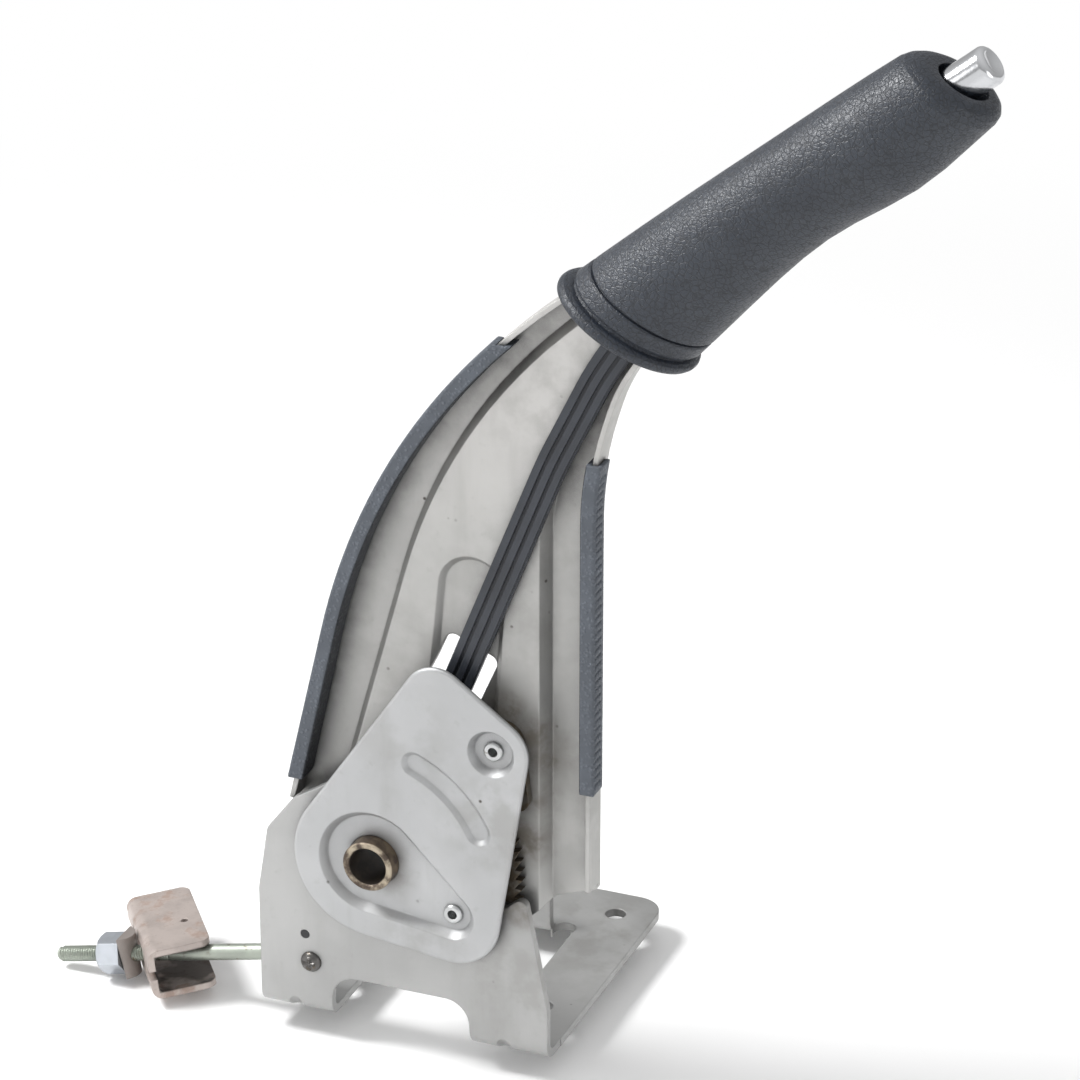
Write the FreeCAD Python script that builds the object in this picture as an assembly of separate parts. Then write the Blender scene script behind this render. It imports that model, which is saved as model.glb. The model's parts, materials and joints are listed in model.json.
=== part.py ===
import FreeCAD, Part
import math
import os

os.makedirs("parts", exist_ok=True)
V = FreeCAD.Vector

# Frame: X points along the lever towards the hand, -X is the cable side, Z is up, and Y runs
# across the base, away from the bracket's upright plate. The origin is the middle of the four
# bolt holes on the underside of the base. All sizes are millimetres.

# Sheets and clearances
bracket_sheet = 3.0
arm_sheet = 1.8
cover_sheet = 1.5
running_play = 0.05
moving_gap = 0.3

# Base and upright plate
bolt_spacing_x = 80.0
bolt_spacing_y = 70.0
bolt_hole_r = 3.75
base_left = -52.6
base_right = 54.0
base_rear = 50.0
base_corner_r = 10.0
plate_face = -65.0
bend_r = 6.0
dart_r = 3.2
dart_dip = 1.5
dart_left_x = -40.0
dart_right_x = 37.5
window_left = -26.2
window_right = 30.5
window_rear = 16.0
upstand_height = 20.0
upstand_half = 22.6
relief_r = 4.2
arch_height = 17.1
plate_corner_x = 45.6
plate_corner_z = 62.3
hub_r = 30.0

# Pivot tube
pivot_x = -8.4
pivot_z = 66.5
tube_r = 9.0
tube_bore_r = 6.7
tube_proud = 6.0
bush_wall = 1.25
bush_length = 8.8
washer_r = 14.0
washer_thick = 1.5

# Ratchet
sector_sheet = 3.0
tooth_tip_r = 52.0
tooth_depth = 2.6
tooth_pitch = 4.0
tooth_count = 11
tooth_start = -8.0
sector_hub_r = 26.5
sector_from = -11.0
sector_to = 48.0
sector_rivet_r = 2.2
sector_rivet_ring = 24.0

# Travel of the lever from the pose drawn, in degrees
swing_down = 32.0
swing_up = 6.0

# Pawl, its pin and the stop rivet, measured from the pivot
pawl_pin_dx = 44.0
pawl_pin_dz = 49.5
pawl_pin_r = 4.0
pawl_sheet = 3.0
pawl_hub_r = 8.0
pawl_tooth_at = 28.0
stop_dx = 29.0
stop_dz = -14.6
stop_collar_r = 4.5
rivet_shank_r = 2.6
rivet_head_r = 3.4
rivet_hollow_r = 1.7

# Lever arm
step_depth = 5.0
step_slope = 3.0
flange_stand = 0.6
lobe_r = 12.0
arm_tail = 333.1
tang_top = 13.2
tang_low = -12.0
grip_angle = 39.0
axis_offset = 166.6

# Cover plate
cover_raise = 3.0
cover_pivot_r = 28.5
cover_stop_r = 17.7
cover_pawl_r = 13.1
cover_top_r = 12.0
cover_top_dx = 24.4
cover_top_dz = 65.2

# Edge trims
trim_wall = 1.8
trim_lap = 7.0
left_trim_low = 89.5
left_trim_high = 258.5
right_trim_low = 103.5
right_trim_high = 222.0

# Grip and button
button_r = 6.5
button_beyond = 50.0
button_behind = 15.0
button_rod_r = 2.4
guide_wall = 1.65
guide_length = 30.5
guide_flange = 2.0
spring_wire = 1.1
spring_mean_r = 4.6
spring_turns = 4

# Release strip
strip_wide = 10.5
strip_thick = 2.0
strip_rib = 1.2
strip_run = 45.4
strip_block = 10.0
strip_low = 133.0

# Pull rod, nut and equaliser yoke
pull_pin_x = 2.0
pull_pin_z = 26.9
pull_pin_r = 4.0
rod_r = 2.9
rod_length = 143.0
rod_tilt = 12.6
rod_beyond_nut = 27.6
eye_r = 7.5
eye_thick = 6.0
nut_flats = 13.0
nut_length = 9.0
seat_r = 5.5
seat_behind = 1.5
yoke_sheet = 2.5
yoke_length = 47.0
yoke_height = 18.5
yoke_flange = 23.0
yoke_yaw = 36.0
yoke_tilt = 7.5
yoke_hole_r = 1.3
rod_slot_room = 1.2
cable_slot_half = 1.6

# Warning lamp switch
switch_x = -35.6
switch_z = 31.1
switch_screw_x = -33.5
switch_screw_z = 20.8
switch_left = -49.5
switch_right = -36.6
switch_low = 25.5
switch_high = 47.5
switch_deep = 5.2
plunger_r = 1.3
plunger_z = 40.5
plunger_tip = -28.8

# Levels across the lever, from the near side of the upright plate to the far side
plate_back = plate_face + bracket_sheet
sector_back = plate_back + sector_sheet
zone_front = sector_back + moving_gap
zone_back = zone_front + arm_sheet
web_front = zone_front + step_depth
web_back = web_front + arm_sheet
flange_edge = plate_back + flange_stand
grip_mid = (flange_edge + web_back) / 2
recess_back = plate_face - moving_gap
recess_front = recess_back - cover_sheet
cover_back = recess_back - cover_raise
cover_front = cover_back - cover_sheet

strip_knee_x = 72.8
strip_knee_z = 259.2
grip_turn = math.radians(grip_angle)
strip_knee_at = strip_knee_x * math.cos(grip_turn) + strip_knee_z * math.sin(grip_turn)
strip_reach = strip_knee_at + strip_run
button_back = arm_tail + button_behind
button_tip = arm_tail + button_beyond
nut_at = rod_length - rod_beyond_nut

pawl_x = pivot_x + pawl_pin_dx
pawl_z = pivot_z + pawl_pin_dz
stop_x = pivot_x + stop_dx
stop_z = pivot_z + stop_dz


def front(u, v, w):
    """Place an outline drawn in X and Z at depth w."""
    return V(u, w, v)


def plan(u, v, w):
    """Place an outline drawn in X and Y at height w."""
    return V(u, v, w)


def side(u, v, w):
    """Place an outline drawn in Y and Z at station w along X."""
    return V(w, u, v)


def polar(x, z, r, degrees):
    a = math.radians(degrees)
    return x + r * math.cos(a), z + r * math.sin(a)


def on_grip(s, h):
    """Point s along the grip axis from the origin's foot and h above it."""
    a = math.radians(grip_angle)
    rise = axis_offset + h
    return s * math.cos(a) - rise * math.sin(a), s * math.sin(a) + rise * math.cos(a)


def wrap(before, centre, r, after):
    """Corner where the tangents from two points to the outside of a circle meet."""
    lines = []
    for point, turn in ((before, -1), (after, 1)):
        dx = centre[0] - point[0]
        dz = centre[1] - point[1]
        reach = math.atan2(dz, dx) + turn * math.asin(r / math.hypot(dx, dz))
        lines.append((point, (math.cos(reach), math.sin(reach))))
    (p, d), (q, e) = lines
    cross = d[0] * e[1] - d[1] * e[0]
    t = ((q[0] - p[0]) * e[1] - (q[1] - p[1]) * e[0]) / cross
    return p[0] + t * d[0], p[1] + t * d[1], r


def toward(a, b, reach):
    """Point that is reach away from a on the way to b."""
    d = unit(a, b)
    return a[0] + reach * d[0], a[1] + reach * d[1]


def unit(a, b):
    length = math.hypot(b[0] - a[0], b[1] - a[1])
    return (b[0] - a[0]) / length, (b[1] - a[1]) / length


def grown(corners, grow, closed):
    """Move every side of an outline outwards, which is to the right of its travel."""
    count = len(corners)
    moved = []
    for i, corner in enumerate(corners):
        r = corner[2] if len(corner) > 2 else 0
        first = not closed and i == 0
        last = not closed and i == count - 1
        into = None if first else unit(corners[i - 1], corner)
        out = None if last else unit(corner, corners[(i + 1) % count])
        if first or last:
            d = out or into
            moved.append((corner[0] + grow * d[1], corner[1] - grow * d[0], 0))
            continue
        cross = into[0] * out[1] - into[1] * out[0]
        along = grow * (into[0] * out[0] + into[1] * out[1] - 1) / cross
        x = corner[0] + grow * into[1] - along * into[0]
        z = corner[1] - grow * into[0] - along * into[1]
        moved.append((x, z, max(r + grow * math.copysign(1, cross), 0.05) if r else 0))
    return moved


def corner_edges(corners, place, w, closed):
    """Straight runs joined by tangent arcs at every corner that has a radius."""
    count = len(corners)
    stops = []
    for i, corner in enumerate(corners):
        r = corner[2] if len(corner) > 2 else 0
        if r == 0 or (not closed and i in (0, count - 1)):
            stops.append((corner[:2], None, corner[:2]))
            continue
        into = unit(corners[i - 1], corner)
        out = unit(corner, corners[(i + 1) % count])
        turn = math.atan2(into[0] * out[1] - into[1] * out[0], into[0] * out[0] + into[1] * out[1])
        reach = r * math.tan(abs(turn) / 2)
        a = (corner[0] - reach * into[0], corner[1] - reach * into[1])
        b = (corner[0] + reach * out[0], corner[1] + reach * out[1])
        dip = r / math.cos(turn / 2) - r
        inwards = unit((0, 0), (out[0] - into[0], out[1] - into[1]))
        mid = (corner[0] + dip * inwards[0], corner[1] + dip * inwards[1])
        stops.append((a, mid, b))
    edges = []
    for i, (a, mid, b) in enumerate(stops):
        if mid:
            edges.append(Part.Arc(place(*a, w), place(*mid, w), place(*b, w)).toShape())
        if closed or i < count - 1:
            following = stops[(i + 1) % count][0]
            if math.hypot(following[0] - b[0], following[1] - b[1]) > 1e-5:
                edges.append(Part.makeLine(place(*b, w), place(*following, w)))
    return edges


def cornered(corners):
    """Closed outline from corners (x, z, radius), counter-clockwise."""
    def wire(grow, w, place=front):
        return Part.Wire(corner_edges(grown(corners, grow, True), place, w, True))
    return wire


def ribbon(corners, inner):
    """Closed outline of a strip that runs along an open path and is inner wide."""
    def wire(grow, w, place=front):
        outside = grown(corners, grow, False)
        inside = grown(corners, -inner - grow, False)
        edges = corner_edges(outside, place, w, False)
        edges += corner_edges(inside, place, w, False)
        edges.append(Part.makeLine(place(*outside[0][:2], w), place(*inside[0][:2], w)))
        edges.append(Part.makeLine(place(*outside[-1][:2], w), place(*inside[-1][:2], w)))
        return Part.Wire(Part.__sortEdges__(edges))
    return wire


def belt(circles):
    """Closed outline of a belt round circles (x, z, r), counter-clockwise."""
    def wire(grow, w, place=front):
        rings = [(x, z, r + grow) for x, z, r in circles]
        if len(rings) == 1:
            x, z, r = rings[0]
            normal = place(0, 0, 1)
            return Part.Wire(Part.makeCircle(r, place(x, z, w), normal))
        count = len(rings)
        leave = []
        for i in range(count):
            x0, z0, r0 = rings[i]
            x1, z1, r1 = rings[(i + 1) % count]
            heading = math.atan2(z1 - z0, x1 - x0)
            leave.append(heading - math.acos((r0 - r1) / math.hypot(x1 - x0, z1 - z0)))
        edges = []
        for i, (x, z, r) in enumerate(rings):
            start = leave[i - 1]
            sweep = (leave[i] - start) % (2 * math.pi)
            points = [polar(x, z, r, math.degrees(start + sweep * k / 2)) for k in range(3)]
            edges.append(Part.Arc(*(place(*p, w) for p in points)).toShape())
            x1, z1, r1 = rings[(i + 1) % count]
            far = polar(x1, z1, r1, math.degrees(leave[i]))
            edges.append(Part.makeLine(place(*points[2], w), place(*far, w)))
        return Part.Wire(edges)
    return wire


def arc_slot(r, half, start, end):
    """Round-ended slot along an arc about the pivot."""
    def wire(grow, w, place=front):
        wide = half + grow

        def at(radius, degrees):
            return place(*polar(pivot_x, pivot_z, radius, degrees), w)

        def cap(degrees, beyond):
            x, z = polar(pivot_x, pivot_z, r, degrees)
            return place(*polar(x, z, wide, degrees + beyond), w)
        middle = (start + end) / 2
        edges = [
            Part.Arc(at(r + wide, start), at(r + wide, middle), at(r + wide, end)).toShape(),
            Part.Arc(at(r + wide, end), cap(end, 90), at(r - wide, end)).toShape(),
            Part.Arc(at(r - wide, end), at(r - wide, middle), at(r - wide, start)).toShape(),
            Part.Arc(at(r - wide, start), cap(start, -90), at(r + wide, start)).toShape(),
        ]
        return Part.Wire(edges)
    return wire


def slab(outline, low, high, grow=0.0, place=front):
    """Flat piece of one outline between two levels."""
    face = Part.Face(outline(grow, low, place))
    return face.extrude(place(0, 0, high - low))


def drafted(outline, low, grow_low, high, grow_high):
    """Solid between an outline and its grown copy at another depth."""
    wires = [outline(grow_low, low), outline(grow_high, high)]
    return Part.makeLoft(wires, True, True)


def pressed(sheet, outline, near, thick, depth, slope):
    """Push the sheet inside an outline along Y by depth, with sloping walls of even thickness."""
    lean = thick * (math.hypot(slope, depth) - slope) / abs(depth)
    far = near + thick
    if depth > 0:
        boss = drafted(outline, far, lean, far + depth, lean - slope)
        pocket = drafted(outline, near, 0, near + depth, -slope)
    else:
        boss = drafted(outline, near, 0, near + depth, -slope)
        pocket = drafted(outline, far, -lean, far + depth, -slope - lean)
    return sheet.fuse(boss).cut(pocket)


def rod_y(x, z, r, low, high):
    """Round bar along Y."""
    return Part.makeCylinder(r, high - low, V(x, low, z), V(0, 1, 0))


def stepped(x, z, steps):
    """Turned piece along Y from (radius, low, high) steps."""
    solid = rod_y(x, z, *steps[0])
    for step in steps[1:]:
        solid = solid.fuse(rod_y(x, z, *step))
    return solid.removeSplitter()


def box(x0, x1, y0, y1, z0, z1):
    return Part.makeBox(x1 - x0, y1 - y0, z1 - z0, V(x0, y0, z0))


def grip_rod(r, low, high):
    """Round bar on the grip axis."""
    x, z = on_grip(low, 0)
    a = math.radians(grip_angle)
    return Part.makeCylinder(r, high - low, V(x, grip_mid, z), V(math.cos(a), 0, math.sin(a)))


def coil(wire_r, mean_r, length, turns):
    """Spring along +Z from the origin, its wire drawn with six flats to keep the faces few."""
    steps = 14 * turns
    rings = []
    for i in range(steps + 1):
        turn = 2 * math.pi * turns * i / steps
        out = V(math.cos(turn), math.sin(turn), 0)
        middle = out * mean_r + V(0, 0, length * i / steps)
        flats = [polar(0, 0, wire_r, 60 * k) for k in range(7)]
        rings.append(Part.makePolygon([middle + out * x + V(0, 0, z) for x, z in flats]))
    return Part.makeLoft(rings, True, True)


def save(name, shape):
    shape.exportStep("parts/" + name + ".step")


# Outlines shared by more than one piece

plate_left_x = -52.6
plate_shoulder = (plate_left_x, 46.0, 20.0)
hub_from = 15.0
hub_to = 122.0
hub_corner = polar(pivot_x, pivot_z, hub_r / math.cos(math.radians((hub_to - hub_from) / 2)),
                   (hub_from + hub_to) / 2)
foot_left_in = window_left
foot_right_in = 25.8
foot_right_x = 53.8

plate_outline = cornered([
    (base_left, -1.0, 0),
    (foot_left_in, -1.0, 0),
    (foot_left_in + 0.8, arch_height, 9.0),
    (foot_right_in - 1.2, arch_height, 9.0),
    (foot_right_in, -1.0, 0),
    (foot_right_x, -1.0, 0),
    (foot_right_x, 20.0, 12.0),
    (plate_corner_x, plate_corner_z, 2.5),
    (plate_corner_x - 8.1, plate_corner_z - 6.8, 3.0),
    (pivot_x + 31.9, pivot_z - 2.0, 8.0),
    (hub_corner[0], hub_corner[1], hub_r),
    (pivot_x - 30.6, pivot_z + 16.4, 4.0),
    (pivot_x - 40.4, pivot_z + 3.5, 6.0),
    plate_shoulder,
])

stop_r = math.hypot(stop_dx, stop_dz)
stop_angle = math.degrees(math.atan2(stop_dz, stop_dx))
stop_slot = arc_slot(stop_r, stop_collar_r + moving_gap, stop_angle - swing_down, stop_angle + swing_up)

pull_pin = (pull_pin_x, pull_pin_z)
arm_low_left = (-42.9, 76.5)
arm_low_right = (53.0, 59.0)
arm_heel = (67.6, 64.0)
right_bend = (67.6, 218.1, 123.0)
right_neck = (78.4, 253.5, 60.0)
right_tang = (*on_grip(268.1, tang_low), 40.0)
left_bend = (-8.4, 224.7, 232.0)

arm_outline = cornered([
    (*arm_low_left, 5.0),
    wrap(arm_low_left, pull_pin, lobe_r, arm_low_right),
    (*arm_low_right, 6.0),
    (*arm_heel, 2.0),
    right_bend,
    right_neck,
    right_tang,
    (*on_grip(arm_tail, tang_low), 2.0),
    (*on_grip(arm_tail, tang_top), 2.0),
    left_bend,
])
right_flange_path = [
    toward(arm_heel, right_bend, 2.5),
    right_bend,
    right_neck,
    right_tang,
    on_grip(arm_tail - 2.0, tang_low),
]
left_flange_path = [
    on_grip(arm_tail - 2.0, tang_top),
    left_bend,
    toward(arm_low_left, left_bend, 5.0),
]
right_flange = ribbon(right_flange_path, arm_sheet)
left_flange = ribbon(left_flange_path, arm_sheet)

zone_end = strip_reach - strip_block - 17.1
zone_outline = cornered([
    (-39.5, 38.0, 0),
    (-39.5, 2.0, 0),
    (51.3, 2.0, 0),
    (51.3, 198.5, 25.0),
    (55.0, 216.5, 25.0),
    (*on_grip(zone_end, -3.0), 4.0),
    (*on_grip(zone_end, 7.0), 4.0),
    (13.4, 227.1, 200.0),
])
recess_outline = belt([(21.0, 127.5, 12.5), (24.5, 169.0, 12.0)])

nose = (17.4, strip_low - 0.35, 2.5)


def strip_band(offset, wide, beyond=0.0):
    """Outline of a band that runs along the strip, centred at an offset from its middle."""
    path = [
        (13.4, 118.5, 0),
        (53.6, 219.5, 150.0),
        (strip_knee_x, strip_knee_z, 120.0),
        (*on_grip(strip_reach + beyond, -1.8), 0),
    ]
    return ribbon(grown(path, offset + wide / 2, False), wide)


def base_bracket():
    profile = ribbon([(plate_face, 120.0), (plate_face, 0.0, bend_r), (base_rear, 0.0)], bracket_sheet)
    bent = slab(profile, base_left - 3.0, base_right, place=side)
    reach = plate_face + 13.0
    keep = slab(plate_outline, plate_face - 1.0, reach)
    keep = keep.fuse(box(base_left, base_right, reach - 1.0, base_rear + 1.0, -1.0, bracket_sheet + 1.0))
    bent = bent.common(keep)
    plan_outline = cornered([
        (plate_left_x - 1.0, plate_face - 1.0, 0),
        (base_right, plate_face - 1.0, 0),
        (base_right, base_rear, base_corner_r),
        (base_left, base_rear, base_corner_r),
        (base_left, plate_face + 8.0, 0),
        (plate_left_x - 1.0, plate_face + 8.0, 0),
    ])
    bent = bent.common(slab(plan_outline, -1.0, 130.0, place=plan))
    window = cornered([
        (window_left, plate_face + 10.0, 2.0),
        (foot_right_in, plate_face + 10.0, 6.0),
        (window_right, plate_face + 22.0, 8.0),
        (window_right, window_rear, 1.0),
        (window_left, window_rear, 1.0),
    ])
    bent = bent.cut(slab(window, -1.0, bracket_sheet + 1.0, place=plan))
    bent = bent.cut(box(-upstand_half, upstand_half, window_rear - 2.0, window_rear + bend_r,
                        -1.0, bracket_sheet + 1.0))
    upstand = ribbon([(window_rear - 0.5, upstand_height), (window_rear - 0.5, 0.0, bend_r),
                      (base_rear - base_corner_r, 0.0)], bracket_sheet)
    bent = bent.fuse(slab(upstand, -upstand_half, upstand_half, place=side))
    for x in (window_left - 0.5 + relief_r, window_right + 0.5 - relief_r):
        bent = bent.cut(Part.makeCylinder(relief_r, bracket_sheet + 2.0, V(x, window_rear + 2.5, -1.0)))
    for x in (-bolt_spacing_x / 2, bolt_spacing_x / 2):
        for y in (-bolt_spacing_y / 2, bolt_spacing_y / 2):
            bent = bent.cut(Part.makeCylinder(bolt_hole_r, bracket_sheet + 2.0, V(x, y, -1.0)))
    for x in (dart_left_x, dart_right_x):
        bump = dart(x, dart_r, 12.0)
        bump.translate(V(0, bracket_sheet / math.sqrt(2) - 0.2, bracket_sheet / math.sqrt(2) - 0.2))
        inside = box(x - dart_r, x + dart_r, plate_back - 1.0, 0.0, bracket_sheet - 1.0, 30.0)
        bent = bent.fuse(bump.common(inside)).cut(dart(x, dart_r, 12.0))
    through = (plate_face - 1.0, plate_back + 1.0)
    bent = bent.cut(rod_y(pivot_x, pivot_z, tube_r, *through))
    bent = bent.cut(slab(stop_slot, *through))
    bent = bent.cut(rod_y(switch_x, switch_z, 1.7, *through))
    bent = bent.cut(rod_y(switch_screw_x, switch_screw_z, 2.2, *through))
    for x, z in sector_rivet_spots():
        bent = bent.cut(rod_y(x, z, sector_rivet_r, *through))
    return bent.removeSplitter()


def dart(x, r, length):
    """Bar laid across the bend under the upright plate, at 45 degrees."""
    lean = (bend_r + r - dart_dip) / math.sqrt(2)
    middle = V(x, plate_face + bend_r - lean, bend_r - lean)
    run = V(0, 1, -1).normalize()
    return Part.makeCylinder(r, length, middle - run * (length / 2), run)


def sector_rivet_spots():
    return [polar(pivot_x, pivot_z, sector_rivet_ring, a) for a in (30.0, 95.0, 160.0)]


def ratchet_sector():
    corners = [(pivot_x, pivot_z)]
    corners.append(polar(pivot_x, pivot_z, tooth_tip_r, sector_from))
    for i in range(tooth_count):
        root = tooth_start + i * tooth_pitch
        corners.append(polar(pivot_x, pivot_z, tooth_tip_r, root))
        corners.append(polar(pivot_x, pivot_z, tooth_tip_r - tooth_depth, root))
    last = tooth_start + tooth_count * tooth_pitch
    for share in (0.0, 0.25, 0.5, 0.75, 1.0):
        corners.append(polar(pivot_x, pivot_z, tooth_tip_r, last + (sector_to - last) * share))
    points = [front(x, z, plate_back) for x, z in corners]
    wedge = Part.Face(Part.makePolygon(points + points[:1])).extrude(V(0, sector_sheet, 0))
    disc = rod_y(pivot_x, pivot_z, sector_hub_r, plate_back, sector_back)
    sector = disc.fuse(wedge).cut(rod_y(pivot_x, pivot_z, tube_r, plate_back, sector_back))
    for x, z in sector_rivet_spots():
        sector = sector.cut(rod_y(x, z, sector_rivet_r, plate_back, sector_back))
    return sector.removeSplitter()


def sector_rivets():
    solids = []
    for x, z in sector_rivet_spots():
        head = rod_y(x, z, sector_rivet_r + 1.2, plate_face - 1.4, plate_face)
        head = head.makeChamfer(0.8, [min(head.Edges, key=lambda e: e.CenterOfMass.y)])
        solids.append(head.fuse(rod_y(x, z, sector_rivet_r, plate_face, sector_back)))
    return Part.makeCompound(solids)


tube_front = recess_front - tube_proud
bush_back = zone_front + bush_length
washer_front = bush_back + 1.0 + moving_gap
washer_back = washer_front + washer_thick


def pivot_tube():
    tube = rod_y(pivot_x, pivot_z, tube_r, tube_front, washer_back)
    tube = tube.fuse(rod_y(pivot_x, pivot_z, tube_r + 2.0, washer_back, washer_back + 1.5))
    tube = tube.cut(rod_y(pivot_x, pivot_z, tube_bore_r, tube_front - 1.0, washer_back + 3.0))
    rims = [e for e in tube.Edges if abs(e.CenterOfMass.y - tube_front) < 0.01]
    return tube.makeChamfer(0.5, rims)


def pivot_bush():
    outer = stepped(pivot_x, pivot_z, [
        (tube_r + running_play + bush_wall, zone_front, bush_back),
        (tube_r + 4.0, bush_back, bush_back + 1.0),
    ])
    return outer.cut(rod_y(pivot_x, pivot_z, tube_r + running_play, zone_front - 1.0, bush_back + 2.0))


def pivot_washer():
    ring = rod_y(pivot_x, pivot_z, washer_r, washer_front, washer_back)
    return ring.cut(rod_y(pivot_x, pivot_z, tube_r, washer_front - 1.0, washer_back + 1.0))


def lever_arm():
    arm = slab(arm_outline, web_front, web_back)
    arm = pressed(arm, zone_outline, web_front, arm_sheet, -step_depth, step_slope)
    arm = arm.common(slab(arm_outline, zone_front - 1.0, web_back + 1.0))
    arm = pressed(arm, recess_outline, zone_front, arm_sheet, 2.2, 2.0)
    for flange in (left_flange, right_flange):
        arm = arm.fuse(slab(flange, flange_edge, web_back))
    window = cornered([(15.6, 151.9, 3.0), (6.0, 129.9, 3.0), (23.9, 122.1, 3.0), (33.5, 144.1, 3.0)])
    arm = arm.cut(slab(window, zone_front - 1.0, web_back + 5.0))
    seat_r = tube_r + running_play + bush_wall
    arm = arm.fuse(rod_y(pivot_x, pivot_z, seat_r + arm_sheet, zone_back - 0.5, bush_back))
    arm = arm.cut(rod_y(pivot_x, pivot_z, seat_r, zone_front - 1.0, bush_back + 1.0))
    for x, z in ((pawl_x, pawl_z), (stop_x, stop_z)):
        arm = arm.cut(rod_y(x, z, rivet_shank_r, zone_front - 1.0, zone_back + 1.0))
    arm = arm.cut(rod_y(pull_pin_x, pull_pin_z, pull_pin_r, zone_front - 1.0, zone_back + 1.0))
    return arm.removeSplitter()


def cover_plate():
    outline = belt([
        (pivot_x, pivot_z, cover_pivot_r),
        (stop_x, stop_z, cover_stop_r),
        (pawl_x, pawl_z, cover_pawl_r),
        (pivot_x + cover_top_dx, pivot_z + cover_top_dz, cover_top_r),
    ])
    cover = slab(outline, cover_front, cover_back)
    rim = [e for e in cover.Edges if abs(e.BoundBox.YMax - cover_front) < 0.01]
    cover = cover.makeFillet(1.1, rim)
    teardrop = belt([(pivot_x, pivot_z, 19.1), (stop_x, stop_z, 8.6)])
    dimple = belt([(pawl_x, pawl_z, 8.4)])
    bead = arc_slot(43.7, 4.6, 26.0, 68.0)
    cover = pressed(cover, teardrop, cover_front, cover_sheet, cover_raise, 2.4)
    cover = pressed(cover, dimple, cover_front, cover_sheet, cover_raise, 1.8)
    cover = pressed(cover, bead, cover_front, cover_sheet, 1.4, 1.6)
    cover = cover.cut(rod_y(pivot_x, pivot_z, tube_r + running_play, cover_front - 1.0, plate_face))
    for x, z in ((pawl_x, pawl_z), (stop_x, stop_z)):
        cover = cover.cut(rod_y(x, z, rivet_shank_r, cover_front - 1.0, plate_face))
    return cover.removeSplitter()


def hollow_rivet(x, z, middle):
    """Rivet that holds the cover to the arm, with its middle turned as given."""
    steps = [
        (rivet_head_r, recess_front - 1.3, recess_front),
        (rivet_shank_r, recess_front, recess_back),
        *middle,
        (rivet_shank_r, zone_front, zone_back),
        (rivet_head_r + 0.8, zone_back, zone_back + 1.4),
    ]
    rivet = stepped(x, z, steps)
    rivet = rivet.cut(rod_y(x, z, rivet_hollow_r, recess_front - 2.0, recess_back + 4.0))
    rim = [e for e in rivet.Edges if e.CenterOfMass.y < recess_front - 1.29 and e.Length > 15.0]
    return rivet.makeChamfer(0.5, rim)


def pawl_pin():
    shoulder = plate_back - moving_gap / 2
    return hollow_rivet(pawl_x, pawl_z, [
        (pawl_pin_r + 1.0, recess_back, shoulder),
        (pawl_pin_r, shoulder, zone_front),
    ])


def stop_rivet():
    return hollow_rivet(stop_x, stop_z, [(stop_collar_r, recess_back, zone_front)])


def pawl():
    end_x, end_z = polar(pivot_x, pivot_z, tooth_tip_r + 6.5, pawl_tooth_at + 3.0)
    hub = (pawl_x, pawl_z, pawl_hub_r)
    push_arm = slab(belt([hub, (nose[0] - 0.4, nose[1] - 6.15, 3.3)]), plate_back, sector_back)
    leg = slab(belt([(end_x, end_z, 4.2), hub]), plate_back, sector_back)
    tip = tooth_tip_r + moving_gap
    spots = ((tip, pawl_tooth_at), (tip + 4.7, pawl_tooth_at + 5.5), (tip + 4.7, pawl_tooth_at - 0.1))
    points = [front(*polar(pivot_x, pivot_z, r, a), plate_back) for r, a in spots]
    tooth = Part.Face(Part.makePolygon(points + points[:1])).extrude(V(0, sector_back - plate_back, 0))
    bore = rod_y(pawl_x, pawl_z, pawl_pin_r + running_play, plate_back - 1.0, sector_back + 1.0)
    return push_arm.fuse(leg).fuse(tooth).cut(bore).removeSplitter()


def pawl_spring():
    wire = 0.45
    mean = pawl_pin_r + 1.0 + wire + 0.15
    turned = coil(wire, mean, 2.0, 2)
    turned = turned.fuse(Part.makeCylinder(wire, 9.0, V(mean, 0.3, 0), V(0, -1, 0)))
    turned = turned.fuse(Part.makeCylinder(wire, 6.0, V(mean, -0.3, 2.0), V(0, 1, 0)))
    turned.rotate(V(0, 0, 0), V(1, 0, 0), -90)
    turned.translate(V(pawl_x, recess_back + 0.6, pawl_z))
    return turned


def push_button():
    button = grip_rod(button_r, button_back, button_tip)
    tip = max(button.Edges, key=lambda e: e.CenterOfMass.x)
    button = button.makeFillet(2.0, [tip])
    return button.fuse(grip_rod(button_rod_r, strip_reach + moving_gap, button_back)).removeSplitter()


guide_back = arm_tail + 1.0
guide_front = guide_back + guide_length


def button_guide():
    guide = grip_rod(button_r + running_play + guide_wall, guide_back, guide_front)
    guide = guide.cut(grip_rod(button_r + running_play, guide_back + guide_flange, guide_front + 1.0))
    return guide.cut(grip_rod(button_rod_r + 0.3, guide_back - 1.0, guide_back + guide_flange + 1.0))


def button_spring():
    low = guide_back + guide_flange + spring_wire / 2 + 0.1
    high = button_back - spring_wire / 2 - 0.1
    turned = coil(spring_wire / 2, spring_mean_r, high - low, spring_turns)
    turned.rotate(V(0, 0, 0), V(0, 1, 0), 90 - grip_angle)
    x, z = on_grip(low, 0)
    turned.translate(V(x, grip_mid, z))
    return turned


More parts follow.
